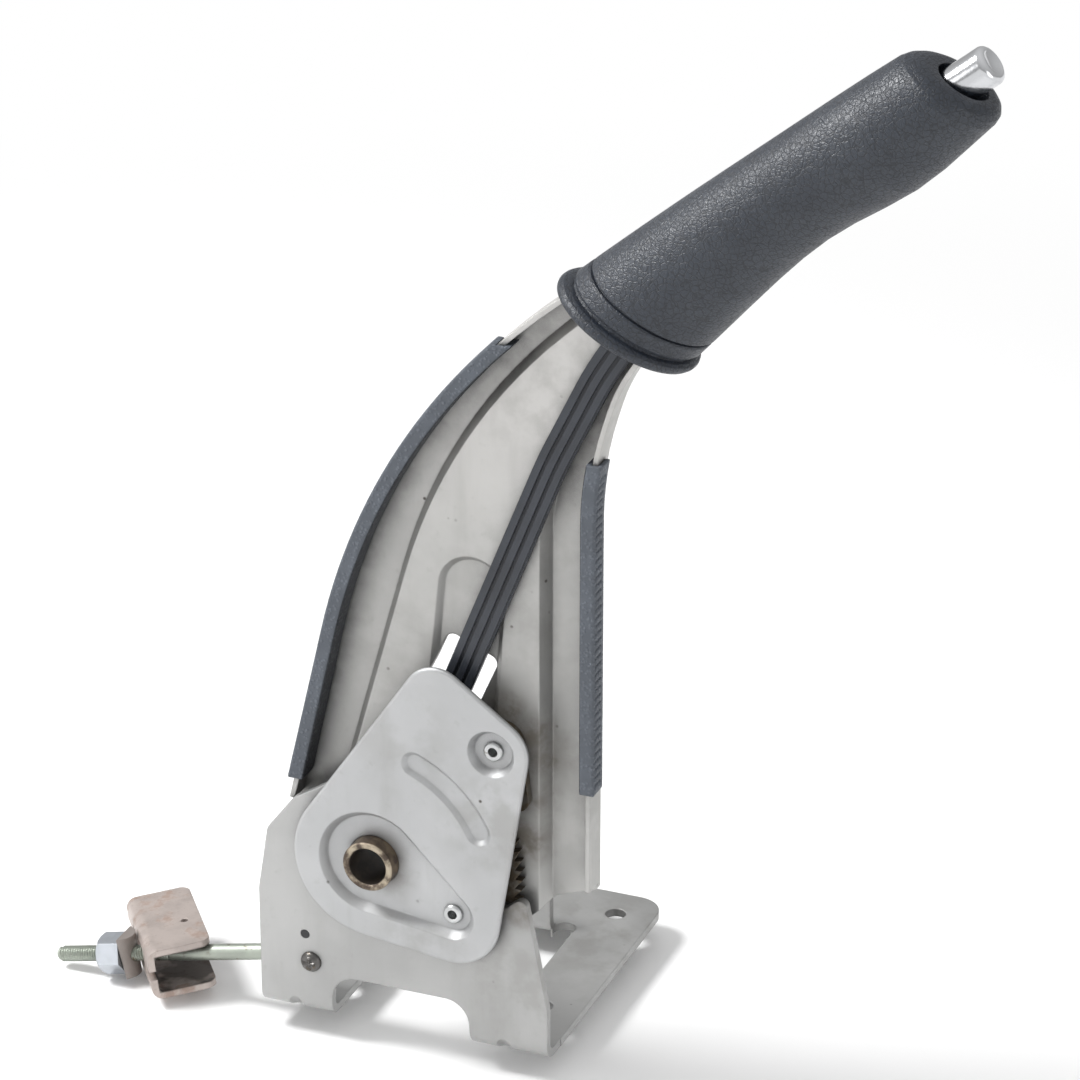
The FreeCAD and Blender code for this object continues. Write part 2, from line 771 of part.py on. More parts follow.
def release_strip():
    back = zone_front - moving_gap
    face = back - strip_thick
    strip = slab(strip_band(0.0, strip_wide), face, back)
    for offset in (-3.6, 0.0, 3.6):
        strip = strip.fuse(slab(strip_band(offset, 2.3), face - strip_rib, face))
    strip = strip.cut(box(-20.0, strip_low / 2, face - 5.0, back + 5.0, strip_low - 40.0, strip_low))
    strip = strip.fuse(slab(belt([nose, (nose[0] + 2.6, nose[1] + 6.0, 2.5)]), face, back))
    start = strip_reach - strip_block
    block = cornered([
        (*on_grip(start, -7.0), 1.5),
        (*on_grip(strip_reach, -7.0), 1.5),
        (*on_grip(strip_reach, 3.0), 1.5),
        (*on_grip(start, 3.0), 1.5),
    ])
    strip = strip.fuse(slab(block, face, web_front - moving_gap))
    return strip.removeSplitter()


def edge_trim(flange_path, start_cut, end_cut):
    """Soft U-shaped edging pushed over a flange between two cutting levels."""
    wrapped = ribbon(flange_path, arm_sheet)
    body = slab(wrapped, flange_edge - trim_wall, flange_edge + trim_lap, trim_wall)
    body = body.cut(slab(wrapped, flange_edge, flange_edge + trim_lap + 1.0))
    span = box(-80.0, 120.0, flange_edge - 10.0, web_back, start_cut, end_cut)
    return body.common(span)


def left_edge_trim():
    return edge_trim(left_flange_path, left_trim_low, left_trim_high)


def right_edge_trim():
    return edge_trim(right_flange_path, right_trim_low, right_trim_high)


# Height over and under the grip axis and half width, at distances back from the end of the arm
grip_rows = [
    (-124.0, 16.5, -29.5, 20.5),
    (-86.0, 17.4, -25.8, 18.6),
    (-55.0, 17.7, -20.6, 17.2),
    (-22.0, 17.6, -17.6, 16.6),
    (8.0, 17.5, -19.6, 17.0),
    (28.0, 17.0, -17.4, 16.2),
    (55.0, 15.0, -14.0, 14.0),
]
grip_lean = math.tan(math.radians(21.8))
collar_back = -106.0
grip_tip = 38.5
tip_round = 6.0


def grip_curve(column):
    """Smooth run of one column of the grip's rows."""
    curve = Part.BSplineCurve()
    stations = [row[0] for row in grip_rows]
    curve.interpolate([V(row[0], row[column], 0) for row in grip_rows], Parameters=stations)
    return curve


grip_top = grip_curve(1)
grip_low = grip_curve(2)
grip_half = grip_curve(3)


def grip_section(at, grow):
    """Oval outline across the grip on a plane that leans, its lower side nearer the tip."""
    top = low = 0.0
    for _ in range(4):
        top = grip_top.value(at - top * grip_lean).y
        low = grip_low.value(at - low * grip_lean).y
    ends = []
    for h in (top + grow, low - grow):
        x, z = on_grip(arm_tail + at - h * grip_lean, h)
        ends.append(V(x, grip_mid, z))
    middle = (ends[0] + ends[1]) / 2
    wide = grip_half.value(at - (top + low) / 2 * grip_lean).y + grow
    return Part.Wire(Part.Ellipse(ends[0], middle + V(0, wide, 0), middle).toShape())


def grip_body():
    """Collar bead, band and hand grip in one skin, with a rounded tip."""
    steps = [(0.0, 0.2), (0.8, 1.4), (1.8, 1.8), (2.8, 1.8), (3.8, 1.4), (4.6, 0.2), (5.0, -1.2)]
    steps += [(6.4, -1.2), (6.6, -0.3), (7.3, 0.0), (12.5, 0.0), (13.2, -0.4), (13.3, -1.2)]
    steps += [(14.0, -1.2), (14.1, -0.3), (14.7, 0.0)]
    rows = [(collar_back + reach, grow) for reach, grow in steps]
    start = rows[-1][0]
    straight = grip_tip - tip_round - start
    rows += [(start + straight * k / 11, 0.0) for k in range(1, 12)]
    for degrees in (25, 45, 62, 77, 88):
        turn = math.radians(degrees)
        rows.append((grip_tip - tip_round * (1 - math.sin(turn)), -tip_round * (1 - math.cos(turn))))
    return Part.makeLoft([grip_section(*row) for row in rows], True, True)


def grip():
    play = 0.2
    body = grip_body().cut(slab(arm_outline, flange_edge - play, web_back + play, play))
    lane = strip_band(0.0, strip_wide + 6.0, 3.0)
    body = body.cut(slab(lane, zone_front - moving_gap - strip_thick - strip_rib - 0.5, zone_front))
    body = body.cut(grip_rod(button_r + running_play + guide_wall, arm_tail - 2.0, button_tip + 20.0))
    return body.removeSplitter()


def pull_pin_shape():
    return stepped(pull_pin_x, pull_pin_z, [
        (6.0, zone_front - 1.5, zone_front),
        (pull_pin_r, zone_front, eye_back + 3.0),
    ])


eye_front = zone_back + moving_gap
eye_back = eye_front + eye_thick
clip_front = eye_back + moving_gap
clip_thick = 1.0
rod_mid = (eye_front + eye_back) / 2


def pull_pin_clip():
    ring = rod_y(pull_pin_x, pull_pin_z, pull_pin_r + 2.5, clip_front, clip_front + clip_thick)
    ring = ring.cut(rod_y(pull_pin_x, pull_pin_z, pull_pin_r - 0.6, clip_front - 1.0, clip_front + 2.0))
    mouth = box(pull_pin_x - 1.6, pull_pin_x + 1.6, clip_front - 1.0, clip_front + 2.0,
                pull_pin_z - 10.0, pull_pin_z)
    return ring.cut(mouth)


def pull_pin_grooved():
    groove = rod_y(pull_pin_x, pull_pin_z, pull_pin_r + 1.0, clip_front, clip_front + clip_thick)
    groove = groove.cut(rod_y(pull_pin_x, pull_pin_z, pull_pin_r - 0.6, clip_front, clip_front + clip_thick))
    return pull_pin_shape().cut(groove).removeSplitter()


def along_rod(shape):
    """Move a piece drawn along -X from the eye to its place on the tilted rod."""
    shape.rotate(V(0, 0, 0), V(0, 1, 0), -rod_tilt)
    shape.translate(V(pull_pin_x, rod_mid, pull_pin_z))
    return shape


def pull_rod():
    eye = Part.makeCylinder(eye_r, eye_thick, V(0, -eye_thick / 2, 0), V(0, 1, 0))
    shank = Part.makeCylinder(rod_r, rod_length, V(0, 0, 0), V(-1, 0, 0))
    shank = shank.common(box(-rod_length - 1.0, 0.0, -eye_thick / 2, eye_thick / 2, -10.0, 10.0)
                         .fuse(box(-rod_length - 1.0, -eye_r - 2.0, -10.0, 10.0, -10.0, 10.0)))
    tip = [e for e in shank.Edges if e.CenterOfMass.x < 0.1 - rod_length]
    shank = shank.makeChamfer(0.8, tip)
    bore = Part.makeCylinder(pull_pin_r + running_play, 20.0, V(0, -10.0, 0), V(0, 1, 0))
    return along_rod(eye.fuse(shank).cut(bore).removeSplitter())


def adjusting_nut():
    corner_r = nut_flats / math.sqrt(3)
    points = [V(0, *polar(0, 0, corner_r, 60 * k + 8.0)) for k in range(7)]
    nut = Part.Face(Part.makePolygon(points)).extrude(V(-nut_length, 0, 0))
    cone = Part.makeCone(corner_r + 2.2, corner_r - 0.9, 3.1, V(3.1 - nut_length, 0, 0), V(-1, 0, 0))
    cone = cone.fuse(Part.makeCylinder(corner_r + 2.2, nut_length, V(3.1 - nut_length, 0, 0), V(1, 0, 0)))
    nut = nut.common(cone)
    nut = nut.cut(Part.makeCylinder(rod_r + running_play, 30.0, V(10.0, 0, 0), V(-1, 0, 0)))
    nut.translate(V(-nut_at, 0, 0))
    return along_rod(nut)


seat_at = nut_at + seat_behind
seat_x = pull_pin_x - seat_at * math.cos(math.radians(rod_tilt))
seat_z = pull_pin_z - seat_at * math.sin(math.radians(rod_tilt))


def upright_at_seat(shape):
    """Lean a piece drawn about the upright axis Z and move it to the seat."""
    shape.rotate(V(0, 0, 0), V(0, 1, 0), -yoke_tilt)
    shape.translate(V(seat_x, rod_mid, seat_z))
    return shape


def seat_washer():
    """Saddle whose round side the yoke rocks on, about the saddle's own axis inside the nut."""
    tall = yoke_height / 2 - 1.5
    saddle = upright_at_seat(Part.makeCylinder(seat_r, 2 * tall, V(0, 0, -tall)))
    reach = nut_at - moving_gap
    behind = along_rod(box(-reach - 40.0, -reach, -20.0, 20.0, -20.0, 20.0))
    ahead = along_rod(box(-reach + 3.6, -reach + 40.0, -20.0, 20.0, -20.0, 20.0))
    bore = along_rod(Part.makeCylinder(rod_r + running_play, 40.0, V(-nut_at - 20.0, 0, 0), V(1, 0, 0)))
    return saddle.cut(behind).cut(bore).removeSplitter()


def equaliser_yoke():
    half = yoke_length / 2
    tall = yoke_height / 2
    web = seat_r + moving_gap
    reach = web + yoke_flange
    profile = ribbon([(reach, -tall), (web, -tall, 4.0), (web, tall, 4.0), (reach, tall)], -yoke_sheet)
    yoke = slab(profile, -half, half)
    sides = cornered([
        (-1.0, -half - 1.0, 0),
        (reach - 8.0, -half, 0),
        (reach, -half + 0.5, 4.0),
        (reach, half, 4.0),
        (-1.0, half + 1.0, 0),
    ])
    yoke = yoke.common(slab(sides, -30.0, 30.0, place=plan))
    swing = math.radians(yoke_yaw)
    past_web = web + yoke_sheet
    slot_long = past_web * math.tan(swing) + rod_r / math.cos(swing) + rod_slot_room
    climb = math.tan(math.radians(rod_tilt - yoke_tilt))
    slot_rise = past_web / math.cos(swing) * climb + rod_r + rod_slot_room
    slot_drop = web * climb - rod_r - rod_slot_room
    yoke = yoke.cut(box(web - 1.0, past_web + 1.0, -slot_long, slot_long, slot_drop, slot_rise))
    for low, high in ((-half - 1.0, 7.0 - half), (half - 7.0, half + 1.0)):
        yoke = yoke.cut(box(web - 1.0, past_web + 1.0, low, high, -cable_slot_half, cable_slot_half))
    yoke = yoke.cut(Part.makeCylinder(yoke_hole_r, 40.0, V(reach - 6.0, -4.0, 0)))
    yoke.rotate(V(0, 0, 0), V(0, 0, 1), yoke_yaw)
    return upright_at_seat(yoke).removeSplitter()


switch_back = plate_back + switch_deep
plunger_y = switch_back - plunger_r - 0.4


def switch_body():
    outline = cornered([
        (switch_left, switch_low, 1.0),
        (switch_right, switch_low, 1.0),
        (switch_right, switch_high, 1.0),
        (switch_left, switch_high, 1.0),
    ])
    body = slab(outline, plate_back, switch_back)
    ear = belt([(switch_screw_x, switch_screw_z, 3.6), (switch_x, switch_z, 3.6)])
    body = body.fuse(slab(ear, plate_back, plate_back + 2.0))
    body = body.fuse(rod_y(switch_x, switch_z, 1.6, plate_face, plate_back))
    body = body.cut(rod_y(switch_screw_x, switch_screw_z, 1.9, plate_back - 1.0, plate_back + 3.0))
    mouth = V(switch_right - 9.0, plunger_y, plunger_z)
    well = Part.makeCylinder(plunger_r + running_play, 20.0, mouth, V(1, 0, 0))
    return body.cut(well).removeSplitter()


def switch_plunger():
    back = switch_right - 4.5
    plunger = Part.makeCylinder(plunger_r, plunger_tip - back, V(back, plunger_y, plunger_z), V(1, 0, 0))
    return plunger.makeChamfer(0.5, [max(plunger.Edges, key=lambda e: e.CenterOfMass.x)])


def switch_terminal():
    middle = (switch_left + switch_right) / 2
    return box(middle - 2.5, middle + 2.5, plate_back + 2.4, plate_back + 3.2, switch_high, switch_high + 8.0)


def switch_screw():
    head = rod_y(switch_screw_x, switch_screw_z, 3.75, plate_face - 2.2, plate_face)
    head = head.makeChamfer(1.1, [min(head.Edges, key=lambda e: e.CenterOfMass.y)])
    shank = rod_y(switch_screw_x, switch_screw_z, 1.9, plate_face, plate_back + 2.6)
    return head.fuse(shank).removeSplitter()


save("base_bracket", base_bracket())
save("ratchet_sector", ratchet_sector())
save("sector_rivets", sector_rivets())
save("pivot_tube", pivot_tube())
save("pivot_bush", pivot_bush())
save("pivot_washer", pivot_washer())
save("lever_arm", lever_arm())
save("cover_plate", cover_plate())
save("pawl_pin", pawl_pin())
save("stop_rivet", stop_rivet())
save("pawl", pawl())
save("pawl_spring", pawl_spring())
save("push_button", push_button())
save("button_guide", button_guide())
save("button_spring", button_spring())
save("release_strip", release_strip())
save("left_edge_trim", left_edge_trim())
save("right_edge_trim", right_edge_trim())
save("grip", grip())
save("pull_pin", pull_pin_grooved())
save("pull_pin_clip", pull_pin_clip())
save("pull_rod", pull_rod())
save("adjusting_nut", adjusting_nut())
save("seat_washer", seat_washer())
save("equaliser_yoke", equaliser_yoke())
save("switch_body", switch_body())
save("switch_plunger", switch_plunger())
save("switch_terminal", switch_terminal())
save("switch_screw", switch_screw())
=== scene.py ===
import json
import math

import bmesh
import bpy
from bpy.props import FloatProperty, FloatVectorProperty, PointerProperty
from mathutils import Matrix, Vector
from mathutils.bvhtree import BVHTree


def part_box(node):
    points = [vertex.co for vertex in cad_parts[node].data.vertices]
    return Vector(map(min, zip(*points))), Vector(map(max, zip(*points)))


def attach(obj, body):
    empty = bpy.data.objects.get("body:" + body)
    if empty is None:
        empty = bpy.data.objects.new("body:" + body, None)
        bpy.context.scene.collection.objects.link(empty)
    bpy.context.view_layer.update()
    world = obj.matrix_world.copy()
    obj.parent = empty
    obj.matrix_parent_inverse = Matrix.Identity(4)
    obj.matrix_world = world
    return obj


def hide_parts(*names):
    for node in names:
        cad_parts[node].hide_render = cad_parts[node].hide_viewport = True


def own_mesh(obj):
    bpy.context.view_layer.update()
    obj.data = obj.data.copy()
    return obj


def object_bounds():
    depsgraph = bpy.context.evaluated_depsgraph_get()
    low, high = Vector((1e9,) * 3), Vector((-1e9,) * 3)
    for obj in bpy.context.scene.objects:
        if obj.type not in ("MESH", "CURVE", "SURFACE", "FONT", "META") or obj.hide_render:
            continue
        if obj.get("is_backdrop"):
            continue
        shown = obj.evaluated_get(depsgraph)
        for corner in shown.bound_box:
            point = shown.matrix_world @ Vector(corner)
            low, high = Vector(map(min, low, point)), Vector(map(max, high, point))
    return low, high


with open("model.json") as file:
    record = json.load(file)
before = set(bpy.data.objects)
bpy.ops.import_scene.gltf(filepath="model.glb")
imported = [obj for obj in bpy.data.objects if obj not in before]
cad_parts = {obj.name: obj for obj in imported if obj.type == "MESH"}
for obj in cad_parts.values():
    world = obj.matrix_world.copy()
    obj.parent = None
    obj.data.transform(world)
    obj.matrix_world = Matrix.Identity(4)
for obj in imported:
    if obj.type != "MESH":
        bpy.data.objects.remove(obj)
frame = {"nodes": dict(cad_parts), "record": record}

bl_info = {
    "name": "Parking brake lever",
    "version": (1, 0, 0),
    "blender": (4, 5, 0),
    "location": "View3D > Sidebar > Brake lever",
    "description": "Finishes the packed brake lever with its metals, grip skin, edging and thread",
    "category": "Object",
}

UP = (0.0, 0.0, 1.0)
FRONT = (0.0, -1.0, 0.0)
ORIGIN = (0.0, 0.0, 0.0)
WHITE = (1.0, 1.0, 1.0)
MERGE = 1e-6


# Settings


def colour(name, description, value):
    return FloatVectorProperty(
        name=name, description=description, subtype="COLOR", size=3, min=0.0, max=1.0, default=value
    )


def length(name, description, value):
    return FloatProperty(
        name=name, description=description, subtype="DISTANCE", unit="LENGTH", min=0.0,
        default=value,
    )


def angle(name, description, degrees):
    return FloatProperty(
        name=name, description=description, subtype="ANGLE", unit="ROTATION",
        default=math.radians(degrees),
    )


def power(name, description, watts):
    return FloatProperty(
        name=name, description=description, subtype="POWER", unit="POWER", min=0.0, default=watts
    )


class SheetSettings(bpy.types.PropertyGroup):
    """Colours, dirt, painted shade and painted highlight of the plated sheet steel."""

    arm_colour: colour("Arm", "Zinc plate of the lever arm", (0.475, 0.472, 0.460))
    # Painted highlight: the arm's top is painted lighter than the rest.
    clean_colour: colour(
        "Clean arm", "Zinc plate near the grip, kept clean by the boot", (0.60, 0.59, 0.575)
    )
    # Height above which the painted highlight begins.
    clean_from: length("Clean from", "Height at which the arm begins to be clean", 0.175)
    cover_colour: colour("Cover", "Zinc plate of the ratchet cover", (0.475, 0.48, 0.485))
    bracket_colour: colour("Bracket", "Zinc plate of the floor bracket", (0.445, 0.445, 0.44))
    # Grease colour, also used for the cover's painted shadow on the arm.
    grease_colour: colour(
        "Grease", "Old grease round the ratchet and the pivot", (0.105, 0.084, 0.058)
    )
    # Colour of the painted shade in corners and creases.
    grime_colour: colour("Grime", "Dust and dirt settled in corners", (0.085, 0.085, 0.088))
    # Colour of dull patches, also used for painted shade.
    stain_colour: colour(
        "Stain", "Dull patches where the plate has gone grey", (0.29, 0.285, 0.27)
    )
    speck_colour: colour("Speck", "Small dark specks on the plate", (0.085, 0.075, 0.065))
    speck_share: FloatProperty(
        name="Specks", description="Share of the plate that carries dark specks",
        subtype="FACTOR", min=0.0, max=1.0, default=0.35,
    )
    edge_round: length("Edge round", "Rounding of the punched edges, as seen", 0.0008)


class PivotSettings(bpy.types.PropertyGroup):
    """Metals and plastics of the pivot, the ratchet and the switch."""

    ratchet_colour: colour("Ratchet", "Steel of the sector and the pawl", (0.15, 0.135, 0.115))
    tube_colour: colour("Pivot tube", "Pale parts of the brown pivot tube", (0.19, 0.145, 0.10))
    tube_dark_colour: colour(
        "Dark pivot tube", "Dark parts of the pivot tube", (0.085, 0.064, 0.050)
    )
    rim_colour: colour("Pivot rim", "Rubbed rim of the pivot tube", (0.44, 0.38, 0.29))
    # Painted shade inside the bore of the pivot tube.
    bore_colour: colour("Pivot bore", "Black inside of the pivot tube", (0.012, 0.010, 0.009))
    bore_radius: length("Bore radius", "Inner radius of the pivot tube", 0.0067)
    washer_colour: colour("Washer", "Washer on the pivot", (0.34, 0.30, 0.26))
    seat_colour: colour("Seat", "Saddle behind the nut", (0.30, 0.265, 0.245))
    rivet_colour: colour("Rivets", "Rivets and the rod's pin", (0.55, 0.56, 0.56))
    wire_colour: colour("Wire", "Springs and the pin's clip", (0.20, 0.20, 0.21))
    screw_colour: colour("Screw", "Dark screw of the switch", (0.13, 0.125, 0.12))
    screw_head: length("Screw head", "Height of the screw's domed head", 0.0022)
    screw_shank: length("Screw shank", "Radius of the screw's shank", 0.0019)
    screw_recess: length("Screw recess", "Depth of the screw's cross", 0.0010)
    blade_colour: colour("Blade", "Brass blade of the switch", (0.55, 0.38, 0.13))
    case_colour: colour("Switch case", "Moulded body of the switch", (0.018, 0.018, 0.020))
    plunger_colour: colour("Plunger", "Pale button of the switch", (0.60, 0.58, 0.52))
    bush_colour: colour("Bush", "Plastic bush on the pivot", (0.022, 0.022, 0.024))


class GripSettings(bpy.types.PropertyGroup):
    """Skin of the grip, its button and the release strip."""

    skin_colour: colour("Skin", "Moulded skin of the grip", (0.017, 0.023, 0.035))
    worn_colour: colour("Worn", "Skin where hands have polished it", (0.026, 0.033, 0.046))
    grain_size: length("Grain", "Width of one cell of the leather grain", 0.0020)
    strip_colour: colour("Strip", "Plastic of the release strip", (0.021, 0.024, 0.031))
    guide_colour: colour("Guide", "Plastic sleeve round the button", (0.02, 0.02, 0.022))
    chrome_colour: colour("Chrome", "Chrome of the push button", (0.74, 0.75, 0.77))
    button_round: length("Button rounding", "Radius of the button's front edge", 0.0021)
    button_dish: length("Button dish", "Depth of the hollow in the button's end", 0.0007)
    button_head: length("Button head", "Length of the button's thick part", 0.035)
    button_rod: length("Button rod", "Radius of the rod behind the button", 0.0024)


class TrimSettings(bpy.types.PropertyGroup):
    """Rubber edging on the two flanges."""

    rubber_colour: colour("Rubber", "Rubber edging", (0.072, 0.082, 0.098))
    nub_pitch: length("Nub pitch", "Distance from one nub to the next", 0.0014)
    bump_pitch: length(
        "Bump pitch", "Distance from one bump to the next along the right edging", 0.0029
    )
    lip_round: length("Lip round", "Rounding of the edging's corners", 0.0009)


class CableEndSettings(bpy.types.PropertyGroup):
    """Rod, nut and yoke at the cable end."""

    rod_colour: colour("Rod", "Plated pull rod", (0.37, 0.40, 0.35))
    rod_dirt_colour: colour("Rod dirt", "Brown spots on the pull rod", (0.16, 0.14, 0.10))
    rod_radius: length("Rod radius", "Outer radius of the pull rod", 0.0029)
    thread_pitch: length("Thread pitch", "Travel of the nut in one turn", 0.001)
    thread_length: length("Thread length", "Threaded stretch of the rod, from its tip", 0.046)
    thread_depth: length("Thread depth", "From the thread's crest to its root", 0.00055)
    nut_colour: colour("Nut", "Bright plated nut", (0.44, 0.465, 0.50))
    yoke_colour: colour("Yoke", "Plated yoke", (0.405, 0.352, 0.325))
    rust_colour: colour("Rust", "Thin rust on the yoke", (0.215, 0.130, 0.092))
    pit_colour: colour("Pits", "Small dark pits in the yoke", (0.09, 0.06, 0.045))
    # Painted shade inside the yoke's fold.
    fold_colour: colour("Fold", "Grease inside the yoke's fold", (0.030, 0.024, 0.020))
    fold_half: length("Fold half", "Half the gap between the yoke's two flanges", 0.0070)
    fold_reach: length("Fold reach", "From the yoke's seat to the inner face of its web", 0.0082)
    yoke_yaw: angle("Yoke turn", "Turn of the yoke from the rod's line at rest", 36.0)


class StageSettings(bpy.types.PropertyGroup):
    """Floor, lamps, sky and camera."""

    floor_colour: colour("Floor", "Plain floor and backdrop", (0.95, 0.95, 0.95))
    floor_reach: length("Floor reach", "From the middle of the floor to its edge", 50.0)
    near_floor: length("Near floor", "Reach of the floor that shows the shadow", 0.40)
    far_floor: length("Far floor", "Reach past which the floor is plain white", 0.95)
    key_power: power("Key lamp", "Power of the lamp above", 13.0)
    fill_power: power("Fill lamp", "Power of the lamp at the front left", 2.6)
    side_power: power("Side lamp", "Power of the lamp at the right", 2.4)
    sky_strength: FloatProperty(
        name="Sky", description="Strength of the light from straight above", min=0.0, default=0.80
    )
    horizon_strength: FloatProperty(
        name="Horizon", description="Strength of the light from all round", min=0.0, default=0.42
    )
    azimuth: angle("Azimuth", "Camera's turn round the lever", 22.0)
    elevation: angle("Elevation", "Camera's height above the horizon", 24.5)
    distance: length("Distance", "Camera to the middle of the view", 1.5)
    lens: FloatProperty(
        name="Lens", description="Focal length on a 36 mm sensor", subtype="DISTANCE_CAMERA",
        unit="CAMERA", default=152.5,
    )
    aim: FloatVectorProperty(
        name="Aim", description="Point in the middle of the view", subtype="TRANSLATION",
        unit="LENGTH", size=3, default=(0.0411, -0.040, 0.182),
    )


# Shader maths


class Socket:
    """An output of a node, on which Python's arithmetic adds Math nodes."""

    def __init__(self, nodes, output):
        self.nodes = nodes
        self.output = output

    def maths(self, operation, *values):
        return self.nodes.node("ShaderNodeMath", {"operation": operation}, *values)

    def __add__(self, other):
        return self.maths("ADD", self, other)

    def __radd__(self, other):
        return self.maths("ADD", other, self)

    def __sub__(self, other):
        return self.maths("SUBTRACT", self, other)

    def __rsub__(self, other):
        return self.maths("SUBTRACT", other, self)

    def __mul__(self, other):
        return self.maths("MULTIPLY", self, other)

    def __rmul__(self, other):
        return self.maths("MULTIPLY", other, self)

    def most(self, other):
        return self.maths("MAXIMUM", self, other)

    def size(self):
        """The value without its sign."""
        return self.maths("ABSOLUTE", self)

    def ramp(self, low, high):
        """0 at low and 1 at high, smooth between."""
        settings = {"interpolation_type": "SMOOTHSTEP"}
        return self.nodes.node("ShaderNodeMapRange", settings, self, low, high)


class Nodes:
    """A node tree that nodes are added to with their settings and inputs."""

    def __init__(self, tree):
        self.tree = tree

    def fill(self, socket, value):
        """Link an input to another node's output, or set its own value."""
        if isinstance(value, Socket):
            self.tree.links.new(value.output, socket)
        elif socket.type == "RGBA":
            socket.default_value = (*value[:3], 1.0)
        else:
            socket.default_value = value

    def node(self, kind, settings, *values, output=0, **named):
        """Any node: its settings first, then its inputs in order or by name."""
        made = self.tree.nodes.new(kind)
        for key, value in settings.items():
            setattr(made, key, value)
        shown = [s for s in made.inputs if s.enabled]
        for socket, value in zip(shown, values):
            self.fill(socket, value)
        for key, value in named.items():
            self.fill(next(s for s in shown if s.name == key.replace("_", " ")), value)
        if isinstance(output, int):
            outputs = [s for s in made.outputs if s.enabled]
            return Socket(self, outputs[output])
        return Socket(self, made.outputs[output])


class Shader(Nodes):
    """A material with one Principled surface, built from nodes."""

    def __init__(self, name):
        self.material = bpy.data.materials.new(name)
        self.material.use_nodes = True
        super().__init__(self.material.node_tree)
        self.end = self.tree.nodes["Material Output"]
        self.surface = self.tree.nodes["Principled BSDF"]
        self.place = self.node("ShaderNodeTexCoord", {}, output="Object")
        self.facing = self.node("ShaderNodeTexCoord", {}, output="Normal")

    def vector(self, operation, *values, output=0):
        return self.node("ShaderNodeVectorMath", {"operation": operation}, *values, output=output)

    def scaled(self, factors, centre=ORIGIN):
        """The place on the piece, moved to a centre and stretched."""
        return self.vector("MULTIPLY", self.vector("SUBTRACT", self.place, centre), factors)

    def noise(self, scale, detail=3.0, roughness=0.55, place=None):
        """Cloudy pattern, with scale clouds to a metre."""
        return self.node(
            "ShaderNodeTexNoise", {}, Vector=place or self.place, Scale=scale, Detail=detail,
            Roughness=roughness,
        )

    def cells(self, scale, place=None, feature="F1"):
        """Distance to the middle or to the edge of the nearest cell."""
        return self.node(
            "ShaderNodeTexVoronoi", {"feature": feature}, Vector=place or self.place,
            Scale=scale, output="Distance",
        )

    def near(self, point, reach, soft):
        """1 within reach of a point and 0 beyond it, with a border over a soft share."""
        gap = self.vector("DISTANCE", self.place, point, output="Value")
        return 1.0 - gap.ramp(reach * (1.0 - soft), reach)

    def along(self, direction, centre):
        """Signed distance from a centre in a direction."""
        moved = self.vector("SUBTRACT", self.place, centre)
        return self.vector("DOT_PRODUCT", moved, direction, output="Value")

    def toward(self, direction):
        """1 on faces that look in a direction and -1 on those that look away."""
        return self.vector("DOT_PRODUCT", self.facing, direction, output="Value")

    def from_axis(self, direction, centre):
        """Distance from the line through a centre in one of the frame's directions."""
        flat = self.scaled([1.0 - abs(d) for d in direction], centre)
        return self.vector("LENGTH", flat, output="Value")

    def mix(self, share, first, second):
        """First colour where the share is 0 and the second where it is 1."""
        return self.node("ShaderNodeMix", {"data_type": "RGBA"}, share, first, second)

    def bump(self, height, depth, normal):
        return self.node(
            "ShaderNodeBump", {}, Strength=1.0, Distance=depth, Height=height, Normal=normal
        )

    def corners(self, reach):
        """1 deep in a corner and 0 on open surface."""
        return 1.0 - self.node(
            "ShaderNodeAmbientOcclusion", {"samples": 6}, WHITE, reach, output="AO"
        )

    def round_edges(self, radius):
        """Normal that makes sharp edges look rounded."""
        return self.node("ShaderNodeBevel", {"samples": 6}, radius)

    def finish(self, **inputs):
        """Fill the surface's inputs by name."""
        for key, value in inputs.items():
            self.fill(self.surface.inputs[key.replace("_", " ")], value)
        return self.material

    def cover_with(self, share, layer):
        """Lay another surface over this one by a share."""
        under = Socket(self, self.surface.outputs[0])
        both = self.node("ShaderNodeMixShader", {}, share, under, layer)
        self.tree.links.new(both.output, self.end.inputs["Surface"])


def shade(tone, factor):
    """A colour made lighter or darker, up to full strength."""
    return [min(c * factor, 1.0) for c in tone]


def strongest(masks):
    """The highest of several masks at each point."""
    most = masks[0]
    for mask in masks[1:]:
        most = most.most(mask)
    return most


# Finishes


